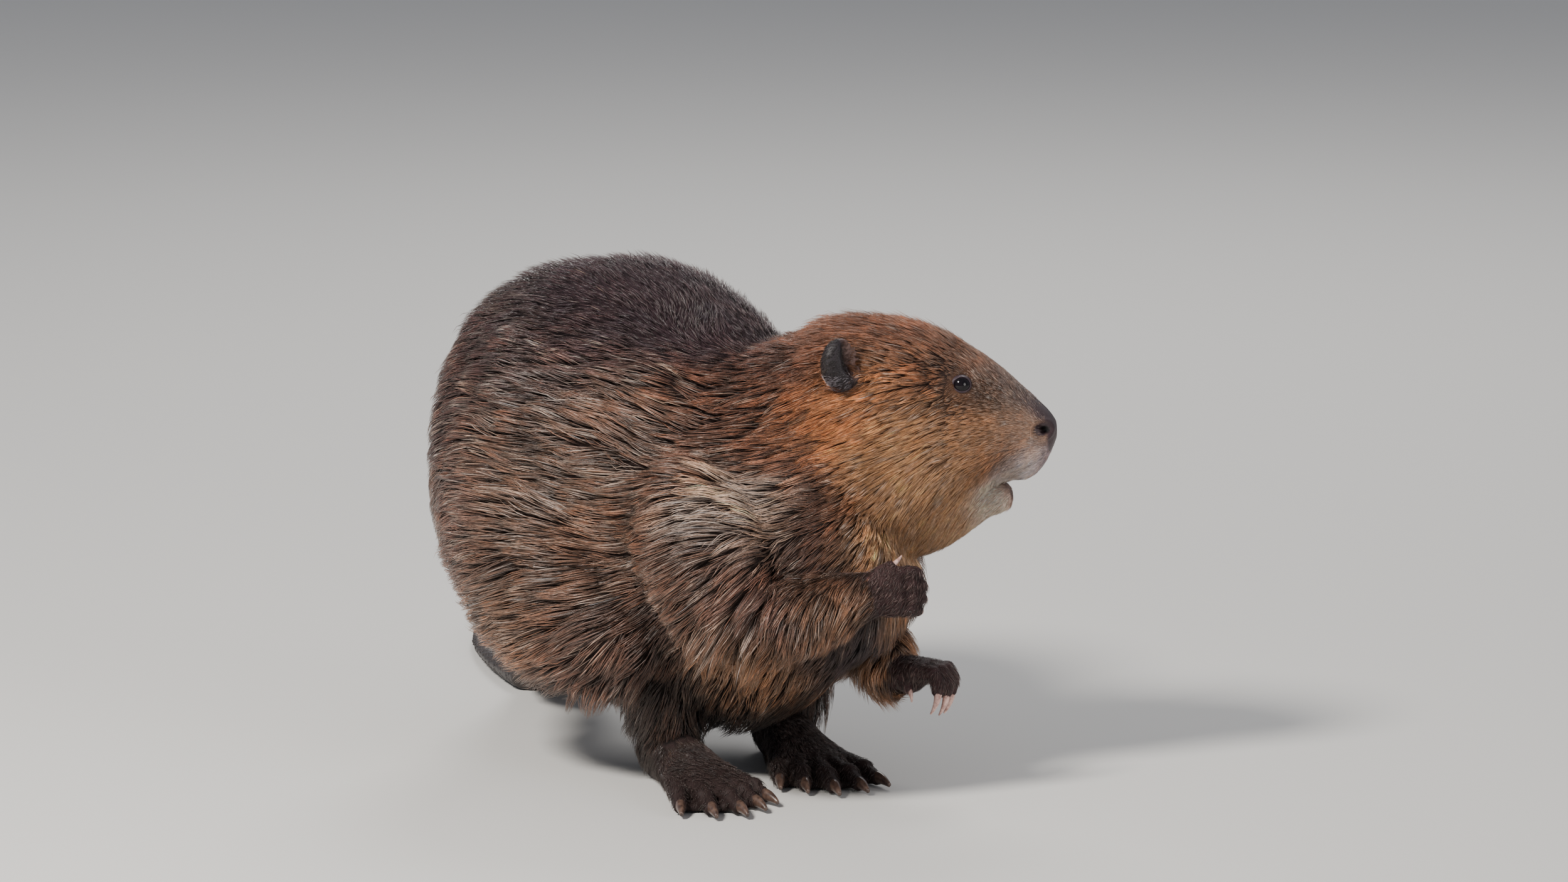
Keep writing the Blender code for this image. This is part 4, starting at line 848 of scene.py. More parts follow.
HEAD_MARKS = (
    ("crown", (12.5, 1.5, 29.4), 1.8, (146, 94, 68), (50, 31, 26), 13, 0.30, 0.03),
    ("occiput", (8.0, 1.0, 29.8), 2.2, (140, 90, 66), (48, 29, 23), 15, 0.32, 0.03),
    ("forehead", (16.8, 1.4, 27.6), 1.5, (118, 80, 60), (46, 30, 24), 8.5, 0.24, 0.04),
    ("brow", (13.8, 3.9, 27.2), 1.3, (142, 94, 64), (34, 20, 17), 18, 0.74, 0.05),
    ("upper brow", (11.6, 3.4, 28.2), 1.3, (120, 80, 60), (32, 19, 17), 17, 0.60, 0.03),
    ("temple", (11.0, 4.9, 26.4), 1.5, (182, 122, 78), (52, 30, 20), 19, 0.66, 0.08),
    ("eye", (15.9, 3.9, 26.0), 0.9, (96, 70, 56), (40, 28, 23), 4.5, 0.25, 0.0),
    ("before the eye", (17.6, 3.2, 25.6), 1.1, (104, 77, 61), (50, 36, 30), 5, 0.20, 0.06),
    ("bridge", (19.2, 1.6, 25.6), 1.1, (98, 77, 69), (50, 38, 34), 4.5, 0.15, 0.08),
    ("nose top", (20.6, 1.4, 24.2), 0.7, (96, 82, 84), (54, 44, 46), 3, 0.10, 0.12),
    ("below the eye", (15.4, 4.5, 24.3), 1.1, (166, 114, 78), (52, 34, 26), 13, 0.62, 0.10),
    ("muzzle", (19.4, 3.1, 22.6), 1.2, (154, 122, 102), (100, 76, 64), 5, 0.20, 0.10),
    ("muzzle back", (17.4, 3.8, 22.4), 1.3, (178, 130, 92), (112, 78, 56), 7.5, 0.22, 0.06),
    # upper lip and chin: pale hair, made paler still as painted light against the shade under the snout
    ("upper lip", (19.9, 2.6, 20.3), 1.0, (240, 222, 220), (200, 178, 174), 7.0, 0.16, 0.75),
    ("lip front", (21.4, 1.2, 20.9), 0.7, (170, 154, 160), (112, 96, 100), 3.4, 0.10, 0.20),
    ("chin", (18.0, 2.0, 18.1), 0.98, (254, 222, 204), (220, 186, 168), 7.0, 0.18, 0.45),
    # darker: painted shade along the front edge of the lower lip
    ("lower lip", (19.45, 0.6, 18.5), 0.42, (108, 84, 78), (74, 56, 52), 4, 0.12, 0.0),
    # jaw: lightened past its own colour, painted light against the shade under the head
    ("jaw", (15.6, 3.2, 17.2), 1.45, (224, 178, 136), (164, 124, 94), 9.5, 0.20, 0.22),
    ("cheek", (14.2, 5.1, 22.6), 1.7, (194, 146, 104), (110, 76, 54), 12, 0.38, 0.12),
    ("below the ear", (8.9, 5.8, 24.2), 1.5, (198, 126, 76), (100, 56, 33), 15, 0.32, 0.03),
    ("mid cheek", (11.4, 6.2, 21.6), 1.8, (194, 142, 96), (112, 76, 50), 14, 0.36, 0.10),
    # low cheek and throat: lightened past their own colour, painted light against the shade under the head
    ("low cheek", (13.4, 5.2, 19.0), 2.1, (212, 164, 120), (156, 116, 84), 10, 0.20, 0.16),
    ("throat", (10.8, 5.0, 15.2), 1.9, (218, 166, 122), (134, 98, 70), 16, 0.34, 0.14),
    ("behind the cheek", (8.6, 6.4, 19.4), 1.8, (124, 82, 60), (44, 27, 20), 18, 0.50, 0.04),
)
# where tips hang or stand free of the body: place, reach, how free
BODY_FREE = (
    ((12.6, 9.8, 10.4), 2.8, 0.80), ((11.0, 9.4, 11.0), 2.4, 0.60), ((3.4, 8.0, 5.4), 2.6, 0.75), ((0.0, 11.0, 6.6), 2.8, 0.65), ((-5.5, 12.0, 7.6), 2.8, 0.55),
    ((14.0, 0.5, 12.0), 2.6, 0.60), ((16.0, 4.2, 12.0), 1.8, 0.55), ((9.6, 4.6, 6.6), 2.2, 0.60), ((-6.0, 1.5, 32.0), 5.0, 0.28), ((-19.0, 2.0, 17.0), 5.0, 0.22),
    ((-12.0, 10.0, 9.0), 3.5, 0.45), ((-1.0, 5.2, 4.4), 2.0, 0.50), ((3.0, 2.0, 3.6), 3.6, 0.50),
)
HEAD_FREE = (((10.0, 1.0, 29.8), 3.8, 0.42), ((10.8, 4.0, 14.2), 2.6, 0.60), ((15.5, 1.5, 15.8), 2.0, 0.35), ((13.8, 3.9, 27.2), 1.4, 0.20),
             ((18.7, 2.3, 19.7), 0.9, 0.62), ((18.4, 1.4, 17.8), 1.2, 0.40))


def freedom(body_points, head_points, headness):
    """How far the hair leaves the surface and goes straight on, 0 to 1."""
    results = []
    for table, q, common in ((BODY_FREE, body_points, 0.20), (HEAD_FREE, head_points, 0.10)):
        q = np.stack([q[:, 0], np.abs(q[:, 1]), q[:, 2]], 1)
        value = np.full(len(q), common)
        for place, reach, amount in table:
            value += amount * np.exp(-((q - np.array(place)) ** 2).sum(1) / (reach * reach))
        results.append(np.minimum(value, 0.9))
    return results[0] * (1 - headness) + results[1] * headness


def marks(body_points, head_points, headness):
    """Tip colour, root colour, length, clumping and share of pale tips and painted glints at each point."""
    results = []
    for table, q in ((BODY_MARKS, body_points), (HEAD_MARKS, head_points)):
        q = np.stack([q[:, 0], np.abs(q[:, 1]), q[:, 2]], 1)
        values = np.array([[*srgb(*m[3]), *srgb(*m[4]), m[5], m[6], m[7]] for m in table])
        total, weight = np.zeros((len(q), values.shape[1])), np.zeros(len(q))
        for row, m in zip(values, table):
            d2 = ((q - np.array(m[1])) ** 2).sum(1) / (m[2] * m[2])
            k = np.exp(-0.9 * d2) + 1e-4 / (1 + d2) ** 2
            total += k[:, None] * row
            weight += k
        results.append(total / weight[:, None])
    t = headness[:, None]
    return results[0] * (1 - t) + results[1] * t


V_MARKS = marks(VP, VH, on_head)

# ---------------------------------------------------------------- the lie of the coat
# where a line of sight meets the skin (pixels of the picture), and which way the tips point there, in degrees
# anticlockwise from the right, as drawn along the locks
LIE = (
    (1655, 650, 133), (1620, 622, 138), (1575, 590, 146), (1520, 555, 156), (1460, 528, 170), (1400, 518, 178), (1340, 518, 182), (1290, 530, 186),
    (1250, 555, 192), (1650, 700, 172), (1640, 735, 205), (1610, 745, 215), (1600, 660, 172), (1575, 622, 168), (1555, 650, 182), (1535, 590, 160),
    (1500, 590, 178), (1500, 625, 205), (1470, 560, 172), (1430, 580, 168), (1390, 560, 172), (1480, 650, 210), (1440, 640, 206), (1400, 650, 204),
    (1350, 650, 203), (1300, 670, 207), (1560, 700, 196), (1520, 720, 202), (1470, 720, 204), (1420, 715, 197), (1370, 720, 196), (1590, 790, 218),
    (1560, 830, 218), (1510, 790, 222), (1450, 780, 228), (1400, 770, 215), (1500, 850, 228), (1430, 850, 246), (1395, 885, 252), (1365, 820, 236),
    (1250, 610, 207), (1210, 650, 206), (1180, 600, 192), (1130, 560, 184), (1180, 530, 176), (1100, 640, 176), (1000, 600, 166), (900, 600, 168),
    (900, 660, 150), (1000, 680, 150), (1080, 710, 152), (1170, 700, 186), (1250, 690, 206), (1300, 740, 200), (1230, 750, 178), (1150, 760, 156),
    (800, 620, 182), (780, 700, 160), (860, 770, 150), (950, 780, 172), (1040, 790, 194), (1110, 790, 190), (900, 840, 164), (760, 800, 172),
    (800, 880, 182), (880, 900, 180), (980, 870, 178), (1080, 860, 192), (1200, 800, 152), (1260, 800, 160), (1300, 800, 205), (1200, 860, 196),
    (1260, 860, 224), (1320, 850, 238), (1140, 910, 214), (1220, 920, 228), (1290, 930, 238), (1100, 960, 208), (1170, 980, 228), (1240, 990, 242),
    (1150, 1030, 238), (1210, 1040, 256), (1280, 1010, 262), (1050, 930, 190), (760, 930, 190), (850, 960, 188), (930, 950, 192), (1000, 980, 212),
    (820, 1020, 198), (900, 1020, 206), (960, 1050, 226), (1030, 1040, 238), (900, 1080, 218), (970, 1110, 240), (1050, 1100, 254), (1110, 1080, 254),
    (1110, 1130, 264), (1030, 1140, 250), (950, 420, 184), (880, 440, 192), (1050, 430, 176), (1150, 480, 166), (1000, 500, 180), (850, 500, 190),
    (770, 540, 204), (730, 640, 220), (705, 720, 236), (715, 800, 214), (720, 880, 205), (1360, 965, 236), (1400, 950, 240), (1370, 1085, 238),
    (1100, 1200, 335), (1060, 970, 205), (1030, 1000, 214), (1080, 1020, 226), (1090, 425, 170), (1090, 455, 172), (1130, 450, 168), (1180, 500, 164), (1210, 525, 168), (1010, 410, 178), (1060, 480, 174),
)
# (x, y, z) and direction of the tips where no line of sight reaches
HIDDEN_LIE = (
    ((-20.0, 0.0, 18.0), (-0.1, 0.3, -1.0)), ((-18.0, 5.0, 22.0), (-0.5, 0.1, -0.9)), ((-18.0, -5.0, 22.0), (-0.5, 0.0, -0.9)), ((-17.0, 4.0, 10.0), (-0.7, 0.5, -0.5)),
    ((-20.0, 6.0, 8.0), (-0.7, 0.6, -0.4)), ((-22.0, 8.0, 5.0), (-0.7, 0.7, -0.3)), ((-25.0, 11.0, 2.5), (-0.7, 0.7, -0.1)), ((-19.0, 2.0, 4.0), (-0.8, 0.4, -0.2)),
    ((0.0, 0.0, 5.4), (-1.0, 0.0, -0.1)), ((-8.0, 0.0, 6.0), (-1.0, 0.0, -0.1)), ((8.0, 0.0, 6.8), (-0.9, 0.0, -0.5)), ((14.5, 1.5, 12.0), (-0.3, -0.1, -1.0)),
    ((12.0, 5.0, 11.0), (-0.3, 0.2, -1.0)), ((-6.0, 0.0, 32.4), (-1.0, 0.0, 0.0)), ((0.0, 0.0, 30.8), (-1.0, 0.0, 0.2)), ((-14.0, 0.0, 30.6), (-0.9, 0.0, -0.5)),
    ((7.5, 10.0, 12.0), (-0.4, 0.2, -0.9)), ((7.0, 9.8, 8.6), (-0.1, 0.1, -1.0)), ((9.8, 6.0, 9.5), (0.3, -0.3, -0.7)), ((11.5, 5.0, 6.2), (0.3, -0.2, -0.8)),
    ((4.0, 10.5, 19.0), (-0.9, 0.1, -0.5)), ((0.5, -4.0, 3.0), (0.5, -0.2, -0.7)), ((-5.5, 6.0, 3.5), (0.5, 0.0, -0.7)), ((-8.5, 6.0, 2.5), (-0.4, 0.0, -0.8)),
    ((15.5, -3.6, 11.2), (-0.1, -0.1, -1.0)), ((13.0, -6.0, 10.0), (-0.3, -0.2, -0.9)), ((14.0, 8.0, 14.6), (-0.5, -0.4, -0.6)),
    ((3.0, -5.0, 1.6), (0.93, -0.37, -0.1)), ((-2.0, 6.0, 1.6), (0.98, -0.14, -0.1)), ((5.0, 2.0, 30.0), (-0.9, 0.1, 0.1)),
)


def sight(px, py):
    """The first point of the skin on the camera's line through a pixel of the 2500 x 1406 picture."""
    k = 36 / 216 / 2500
    ray = (-C + R * ((px - 1250) * k) - U * ((py - 703) * k)).normalized()
    hit = CARRIER.ray_cast(camera.location, ray)
    return (hit[0], hit[1], ray) if hit[0] is not None else (None, None, ray)


g_point, g_way, g_normal = [], [], []
right_np, plane0 = np.array(OUT), np.array(head_point(0, 0, 0))
for px, py, angle in LIE:
    place, normal, ray = sight(px, py)
    if place is None:
        continue
    v = R * math.cos(math.radians(angle)) + U * math.sin(math.radians(angle))
    dn = ray.dot(normal)
    k = -v.dot(normal) / (min(dn, -0.25) if dn < 0 else max(dn, 0.25))
    way = v + ray * max(-1.2, min(1.2, k))
    way = (way - normal * way.dot(normal)).normalized()
    p, d, nn = design(np.array([place]))[0], np.array(way), np.array(normal)
    g_point.append(p); g_way.append(d); g_normal.append(nn)
    hp = head_coords(p[None])[0]
    if hp[0] > 8.5 and px > 1290 and hp[1] > 0.6:            # the same lie on the far side of the head
        g_point.append(p - 2 * ((p - plane0) @ right_np) * right_np)
        g_way.append(d - 2 * (d @ right_np) * right_np)
        g_normal.append(nn - 2 * (nn @ right_np) * right_np)
    elif px < 1290 and abs(p[1]) > 1.5:                       # and of the trunk
        g_point.append(p * (1, -1, 1)); g_way.append(d * (1, -1, 1)); g_normal.append(nn * (1, -1, 1))
for p, d in HIDDEN_LIE:
    g_point.append(np.array(p, float)); g_way.append(np.array(unit(d)))
    near = CARRIER.find_nearest(Vector(world(p)))
    g_normal.append(np.array(near[1]))
g_point, g_way, g_normal = np.array(g_point), np.array(g_way), np.array(g_normal)

flow = np.zeros_like(V)
for p, d, nn in zip(g_point, g_way, g_normal):
    d2 = ((VP - p) ** 2).sum(1)
    facing = np.clip(N @ nn + 0.35, 0.02, 1.35)
    flow += (facing / (d2 + 0.9) ** 2)[:, None] * d
flow -= (flow * N).sum(1)[:, None] * N
flow = normalise(flow)
# small changes of direction, in broad and in narrow waves
turn = np.array([
    0.20 * noise.noise(Vector(p) * 0.22) + 0.22 * noise.noise(Vector(p) * 0.65 + Vector((9, 3, 5))) + 0.16 * noise.noise(Vector(p) * 1.5 + Vector((2, 8, 1)))
    for p in VP
]) * (1.15 - 0.7 * on_head)
flow = normalise(flow * np.cos(turn)[:, None] + np.cross(N, flow) * np.sin(turn)[:, None])
flow = normalise(ease(flow, 1) * on_head[:, None] + ease(flow, 5) * (1 - on_head)[:, None])
flow = normalise(flow - (flow * N).sum(1)[:, None] * N)

# ---------------------------------------------------------------- how long, how wide and how dense by part
# short dark wool and longer guard tufts per square cm, guard's width mm, length as a share of the marks' (or mm where over 1)
BY_PART = {
    "chest": (6, 22, 0.48, 1.0), "mid_body": (6, 25, 0.46, 1.0), "rump": (6, 22, 0.49, 1.0), "neck": (6, 31, 0.43, 1.0), "tail_root": (5, 18, 0.54, 1.0),
    "upper_arm": (6, 30, 0.44, 1.0), "forearm": (5, 50, 0.37, 1.0), "thigh": (6, 25, 0.47, 1.0), "shank": (5, 36, 0.42, 1.0),
    "head": (0, 165, 0.31, 1.0), "muzzle": (0, 340, 0.24, 1.0), "lower_jaw": (0, 270, 0.26, 1.0), "nose_pad": (0, 150, 0.22, 0.8),
    "fore_paw": (0, 105, 0.33, 5.4), "hind_foot": (0, 62, 0.38, 5.0), "ear": (0, 210, 0.21, 3.4), "tail": (0, 0, 0.4, 2.0),
}


def part_of(name):
    return name.replace("right_", "").replace("left_", "")


per = np.array([BY_PART[part_of(n)] for n in v_name])
length = ease(np.where(per[:, 3] > 1.5, per[:, 3], V_MARKS[:, 6] * per[:, 3]), 3)
wool, density, width = ease(per[:, 0], 3), ease(per[:, 1], 3), ease(per[:, 2], 4)
trunk_like = (1 - on_head) * (length > 12)
density = density * np.where(trunk_like > 0.5, np.clip(28 / length, 1, 2.1) ** 0.9, 1.0)
width = width * np.where(trunk_like > 0.5, np.clip(length / 28, 0.5, 1.2) ** 0.25, 1.0)
stand = np.array([{"ear": 0.0013, "fore_paw": 0.0015, "hind_foot": 0.0019, "lower_jaw": 0.0014, "muzzle": 0.0009}.get(part_of(x), 0.0006) for x in v_name])
depth = ease(np.clip(depth, stand, 0.0125), 3)
crown = step(26.5, 29.2, VH[:, 2]) * step(4.5, 7.5, VH[:, 0]) * (1 - step(15.5, 18.0, VH[:, 0])) * on_head
depth = depth + 0.0022 * crown
FREE = ease(freedom(VP, VH, on_head), 1)
# hollows between the groups of locks, where the coat is lower and its tufts darker as painted shade
hollow = np.array([noise.noise(Vector(p) * 0.42 + Vector((4, 1, 7))) + 0.7 * noise.noise(Vector(p) * 1.05 + Vector((1, 5, 2))) for p in VP])
hollow = step(0.10, 0.55, hollow) * step(0.36, 0.66, V_MARKS[:, 7])
s, w, z = VH[:, 0], np.abs(VH[:, 1]), VH[:, 2]


def pad_share(h):
    """Bare skin of the nose: the front of the snout, and round the nostrils."""
    s, w, z = h[:, 0], np.abs(h[:, 1]), h[:, 2]
    front = step(21.10, 21.40, s + 0.10 * (z - 22.6)) * step(21.35, 21.75, z + 0.12 * w) * (1 - step(24.0, 24.6, z))
    round_nostril = 1 - step(0.82, 1.15, np.hypot((s - 20.98) / 0.56, (z - 22.95) / 0.42))
    top = step(20.45, 20.8, s) * step(23.4, 23.8, z)
    return np.maximum(front, np.maximum(round_nostril * (s > 20), top * 0.85)) * (s > 19.5)


pad = pad_share(VH)
density *= 1 - pad
bare = np.isin(v_name, ("tail",))
density[bare] = 0
wool[bare] = 0
for side, sign in (("right", 1), ("left", -1)):          # shorter round the eyes
    centre = np.array(head_point(EYE_S, sign * EYE_W, EYE_Z))
    axis = np.array(EYE_AXIS[side])
    rel = VP - centre
    along = rel @ axis
    d = np.linalg.norm(rel - along[:, None] * axis, axis=1)
    close = np.linalg.norm(rel, axis=1) < 2.2
    length = np.where(close, np.minimum(length, 1.8 + 5.0 * np.clip(d - 0.62, 0, 3)), length)
    density = np.where(close & (d < 0.60), 0, density)
is_hind = np.array(["foot" in n for n in v_name])
for (hx, hy), yaw in (((-1.0, -3.6), -22), ((-0.6, 6.4), -30)):      # hair thins out from the instep to the toes
    ahead_of_heel = (VP[:, 0] - hx) * math.cos(math.radians(yaw)) + (VP[:, 1] - hy) * math.sin(math.radians(yaw))
    mine = is_hind & (np.hypot(VP[:, 0] - hx, VP[:, 1] - hy) < 16) & (np.sign(VP[:, 1] - 1.2) == np.sign(hy))
    fade = 1 - step(3.0, 12.5, ahead_of_heel)
    density = np.where(mine, density * (0.45 + 1.9 * fade), density)
    length = np.where(mine, 4.4 + 8.0 * fade, length)
density[is_hind & ((VP[:, 2] < 0.45) | (N[:, 2] < -0.1))] = 0
density[N[:, 2] < -0.75] *= 0.7
length, density = ease(length, 1), ease(density, 1)
density[bare | (pad > 0.75)] = 0

# guides: the path that hair takes from each point of the carrier
STEPS = 6
RISE = [0.97 * math.sin(0.5 * math.pi * (k / STEPS) ** 0.8) for k in range(STEPS + 1)]
guide = np.zeros((len(V), STEPS + 1, 3))
straight = np.zeros((len(V), STEPS + 1, 3))
here, here_n, here_f = V.copy(), N.copy(), flow.copy()
guide[:, 0] = straight[:, 0] = V
fall = np.array((0.0, 0.0, -1.0))
for k in range(1, STEPS + 1):
    u = k / STEPS
    ahead = here + here_f * (length * 0.001 / STEPS)[:, None]
    for i in range(len(V)):
        if density[i] < 1:
            continue
        place, _, face, _ = CARRIER.find_nearest(ahead[i])
        tri = T[face]
        c = np.array(place)
        wts = 1.0 / (((V[tri] - c) ** 2).sum(1) + 1e-8)
        wts /= wts.sum()
        here[i] = c
        here_n[i] = wts @ N[tri]
        here_f[i] = 0.65 * here_f[i] + 0.35 * (wts @ flow[tri])
    here_n = normalise(here_n)
    here_f = normalise(here_f - (here_f * here_n).sum(1)[:, None] * here_n)
    guide[:, k] = here + here_n * (depth * RISE[k])[:, None]
    hang = (np.clip(FREE - 0.25, 0, 1) * 0.95 * u)[:, None]
    way = normalise(flow * (1 - hang) + fall * hang)
    straight[:, k] = straight[:, k - 1] + way * (length * 0.001 / STEPS)[:, None] + N * (depth * (RISE[k] - RISE[k - 1]) * 0.9)[:, None]
PATH = guide * (1 - FREE)[:, None, None] + straight * FREE[:, None, None] - V[:, None]

# ---------------------------------------------------------------- roots
corner = V[T]
tri_area = 0.5 * np.linalg.norm(np.cross(corner[:, 1] - corner[:, 0], corner[:, 2] - corner[:, 0]), axis=1) * 1e4
LONG = 15.0
cost = np.where(length[T].mean(1) > LONG, 12, 6)
scale = COAT_TRIANGLES / (tri_area * (density[T].mean(1) * cost + wool[T].mean(1) * 6)).sum()
print("coat scale", round(scale, 3), "area cm2", round(tri_area.sum()))


def sow(values):
    """Random places on the carrier, as triangle and shares of its corners, at values a square cm."""
    want = tri_area * values[T].mean(1) * scale * 1.0
    count = np.floor(want + RNG.random(len(want))).astype(int)
    tri = np.repeat(np.arange(len(T)), count)
    b = RNG.random((len(tri), 2))
    over = b.sum(1) > 1
    b[over] = 1 - b[over]
    return tri, np.stack([1 - b.sum(1), b[:, 0], b[:, 1]], 1)


guard_tri, guard_bary = sow(density)
wool_tri, wool_bary = sow(wool)
tri, bary = np.concatenate([guard_tri, wool_tri]), np.concatenate([guard_bary, wool_bary])
n, guards = len(tri), len(guard_tri)
is_wool = np.arange(n) >= guards


def mix(values):
    """A value of the carrier's points at every root."""
    return np.einsum("nk,nk...->n...", bary, values[T[tri]])


root = mix(V)
root_n = normalise(mix(N))
root_uv = np.einsum("nk,nkc->nc", bary, TRI_UV[tri])
path = mix(PATH)
r_len, r_wid, r_dep, r_mark, r_free, r_hollow = mix(length), mix(width), mix(depth), mix(V_MARKS), mix(FREE), mix(hollow)
r_head = mix(on_head)
r_p = design(root)
r_h = head_coords(r_p)
r_name = v_name[T[tri, 0]]
r_wid[is_wool] *= 1.5
path[is_wool] *= 0.62

# ---------------------------------------------------------------- tufts of one growth: jitter, strands, locks and patches
kd_order = RNG.permutation(guards)


def seeds(share):
    """Which tuft each tuft follows: the nearest of a random few."""
    chosen = kd_order[: max(int(guards * share), 8)]
    tree = KDTree(len(chosen))
    for i in chosen:
        tree.insert(root[i], int(i))
    tree.balance()
    return np.array([tree.find(p)[1] for p in root])


clump, lock, patch = seeds(1 / 8), seeds(1 / 38), seeds(1 / 260)
rand = lambda: RNG.random(n)
bell = lambda: RNG.standard_normal(n)
clump_yaw, clump_lift, clump_tone, clump_pale_and_glint = bell()[clump], bell()[clump], bell()[clump], rand()[clump]
lock_yaw, lock_lift, lock_tone, lock_len = bell()[lock], bell()[lock], bell()[lock], rand()[lock]
patch_tone, patch_yaw = bell()[patch], bell()[patch]
loose = 1.0 - 0.50 * r_head
yaw = loose * (0.05 * bell() + 0.08 * clump_yaw + 0.10 * lock_yaw + 0.04 * patch_yaw) + 0.22 * bell() * step(12.5, 9.0, r_len) * (1 - r_head)
up_share = (path * root_n[:, None]).sum(2)
flat_path = path - up_share[..., None] * root_n[:, None]
cos, sin = np.cos(yaw)[:, None, None], np.sin(yaw)[:, None, None]
flat_path = flat_path * cos + np.cross(root_n[:, None], flat_path) * sin
uneven = np.clip(r_free - 0.35, 0, 0.5)
long_share = (0.74 - 0.30 * uneven + (0.44 + 0.9 * uneven) * rand() ** (1 + uneven) + (0.22 + 0.6 * uneven) * (lock_len - 0.5)) * (1 - 0.22 * r_hollow)
lift = np.clip(0.88 + 0.09 * bell() + 0.09 * clump_lift + 0.11 * lock_lift - 0.30 * r_hollow, 0.30, 1.2)
lift[is_wool] = np.clip(lift[is_wool], 0.3, 1.0)
stray = (rand() < 0.008 + 0.16 * np.exp(-((r_h[:, 2] - 29.6) / 1.1) ** 2) * r_head) & ~is_wool
lift[stray] *= 1.5
long_share[stray] *= 1.15
curve = root[:, None] + (flat_path * long_share[:, None, None]) + root_n[:, None] * (up_share * lift[:, None])[..., None]
u = np.linspace(0, 1, STEPS + 1)
hold = np.clip(r_mark[:, 7] + 0.45 * uneven, 0, 0.8) * np.where(is_wool, 0.25, 1.0)
curve += (curve[lock] - curve) * (0.52 * hold)[:, None, None] * (u**1.7)[None, :, None]
curve += (curve[clump] - curve) * np.clip(1.05 * hold, 0, 0.85)[:, None, None] * (u**1.25)[None, :, None]
side_way = normalise(np.cross(flat_path[:, -1], root_n))
wave = (0.018 * r_len * 0.001 * bell())[:, None] * np.sin(u[None] * math.pi * (1 + rand()[:, None]) + 6.28 * rand()[:, None]) * u[None]
curve += wave[..., None] * side_way[:, None]
curve -= root_n[:, None] * 0.0005 * (1 - u)[None, :, None]
curve[..., 2] = np.maximum(curve[..., 2], 0.0006)

# ---------------------------------------------------------------- colours of the tufts
tip, base_colour = r_mark[:, 0:3].copy(), r_mark[:, 3:6].copy()
plain = 1 - 0.45 * step(0.30, 0.20, r_mark[:, 7])          # short even fur is more of one colour
# tone: random by tuft, clump, lock and patch, and darker in the hollows as painted shade
tone = np.exp(plain * (0.22 * bell() + 0.15 * clump_tone + 0.15 * lock_tone) + 0.08 * patch_tone) * (1 - 0.45 * r_hollow)
# pale tufts: partly the pale tips of the locks, partly painted glints where light catches them
pale_and_glint = (np.where(rand() < 0.45, clump_pale_and_glint, rand()) < r_mark[:, 8]) & ~is_wool
pale_and_glint_colour = srgb(238, 210, 190)
tip = tip * tone[:, None]
tip[pale_and_glint] = 0.45 * tip[pale_and_glint] + 0.55 * pale_and_glint_colour * (0.65 + 0.5 * rand()[pale_and_glint])[:, None]
warm = np.exp(0.07 * bell() + 0.06 * lock_tone)[:, None] ** np.array([1.0, 0.0, -1.0])
tip = np.clip(tip * warm, 0.002, 0.85)
# roots darker in the hollows too: painted shade
base_colour = np.clip(base_colour * np.exp(0.15 * bell())[:, None] * (1 - 0.35 * r_hollow)[:, None], 0.001, 0.5)
# the wool is mostly the root colour: the underfur's own darker colour, partly painted shade deep in the coat
tip[is_wool] = 0.62 * base_colour[is_wool] + 0.26 * tip[is_wool]
is_ear = np.char.endswith(r_name, "_ear")
is_paw = np.char.find(r_name, "paw") >= 0
is_foot = np.char.find(r_name, "foot") >= 0
for mask, t_col, b_col in ((is_ear, srgb(28, 21, 26), srgb(14, 10, 13)), (is_paw, srgb(80, 58, 56), srgb(32, 22, 22)), (is_foot, srgb(70, 52, 48), srgb(19, 13, 13))):
    tip[mask] = t_col * tone[mask][:, None]
    base_colour[mask] = b_col
# painted highlights: pale streaks of fur on the backs of the paws
paw_highlight = is_paw & (RNG.random(n) < 0.16)
tip[paw_highlight] = srgb(158, 130, 124) * (0.7 + 0.5 * RNG.random(paw_highlight.sum()))[:, None]


def ear_coords(p, side):
    """Design points in the ear's own frame: along the head, out of its face, up, each in its radii."""
    centre, along, face, rise = EARS[side]
    rel = p - centre
    return rel @ along / 1.40, rel @ face / 0.80, rel @ rise / 1.72


for side, sign in (("right", 1), ("left", -1)):
    a, f, r = ear_coords(r_p, side)
    mine = is_ear & (np.sign(r_h[:, 1]) == sign)
    # painted rim light: pale grey tips along the lower rear rim of the ear
    ear_rim_light = mine & (a < 0.25) & (r < -0.22) & (RNG.random(n) < 0.5)
    tip[ear_rim_light] = srgb(176, 168, 178) * (0.6 + 0.6 * RNG.random(ear_rim_light.sum()))[:, None]
    front_rim = mine & (a > 0.22 + 0.12 * RNG.standard_normal(n)) & (r > -0.60)
    to_fur = step(0.5, 1.0, a[front_rim])[:, None]
    tip[front_rim] = (srgb(120, 94, 86) * (1 - to_fur) + srgb(168, 112, 76) * to_fur) * tone[front_rim][:, None]
    base_colour[front_rim] = srgb(74, 55, 50)


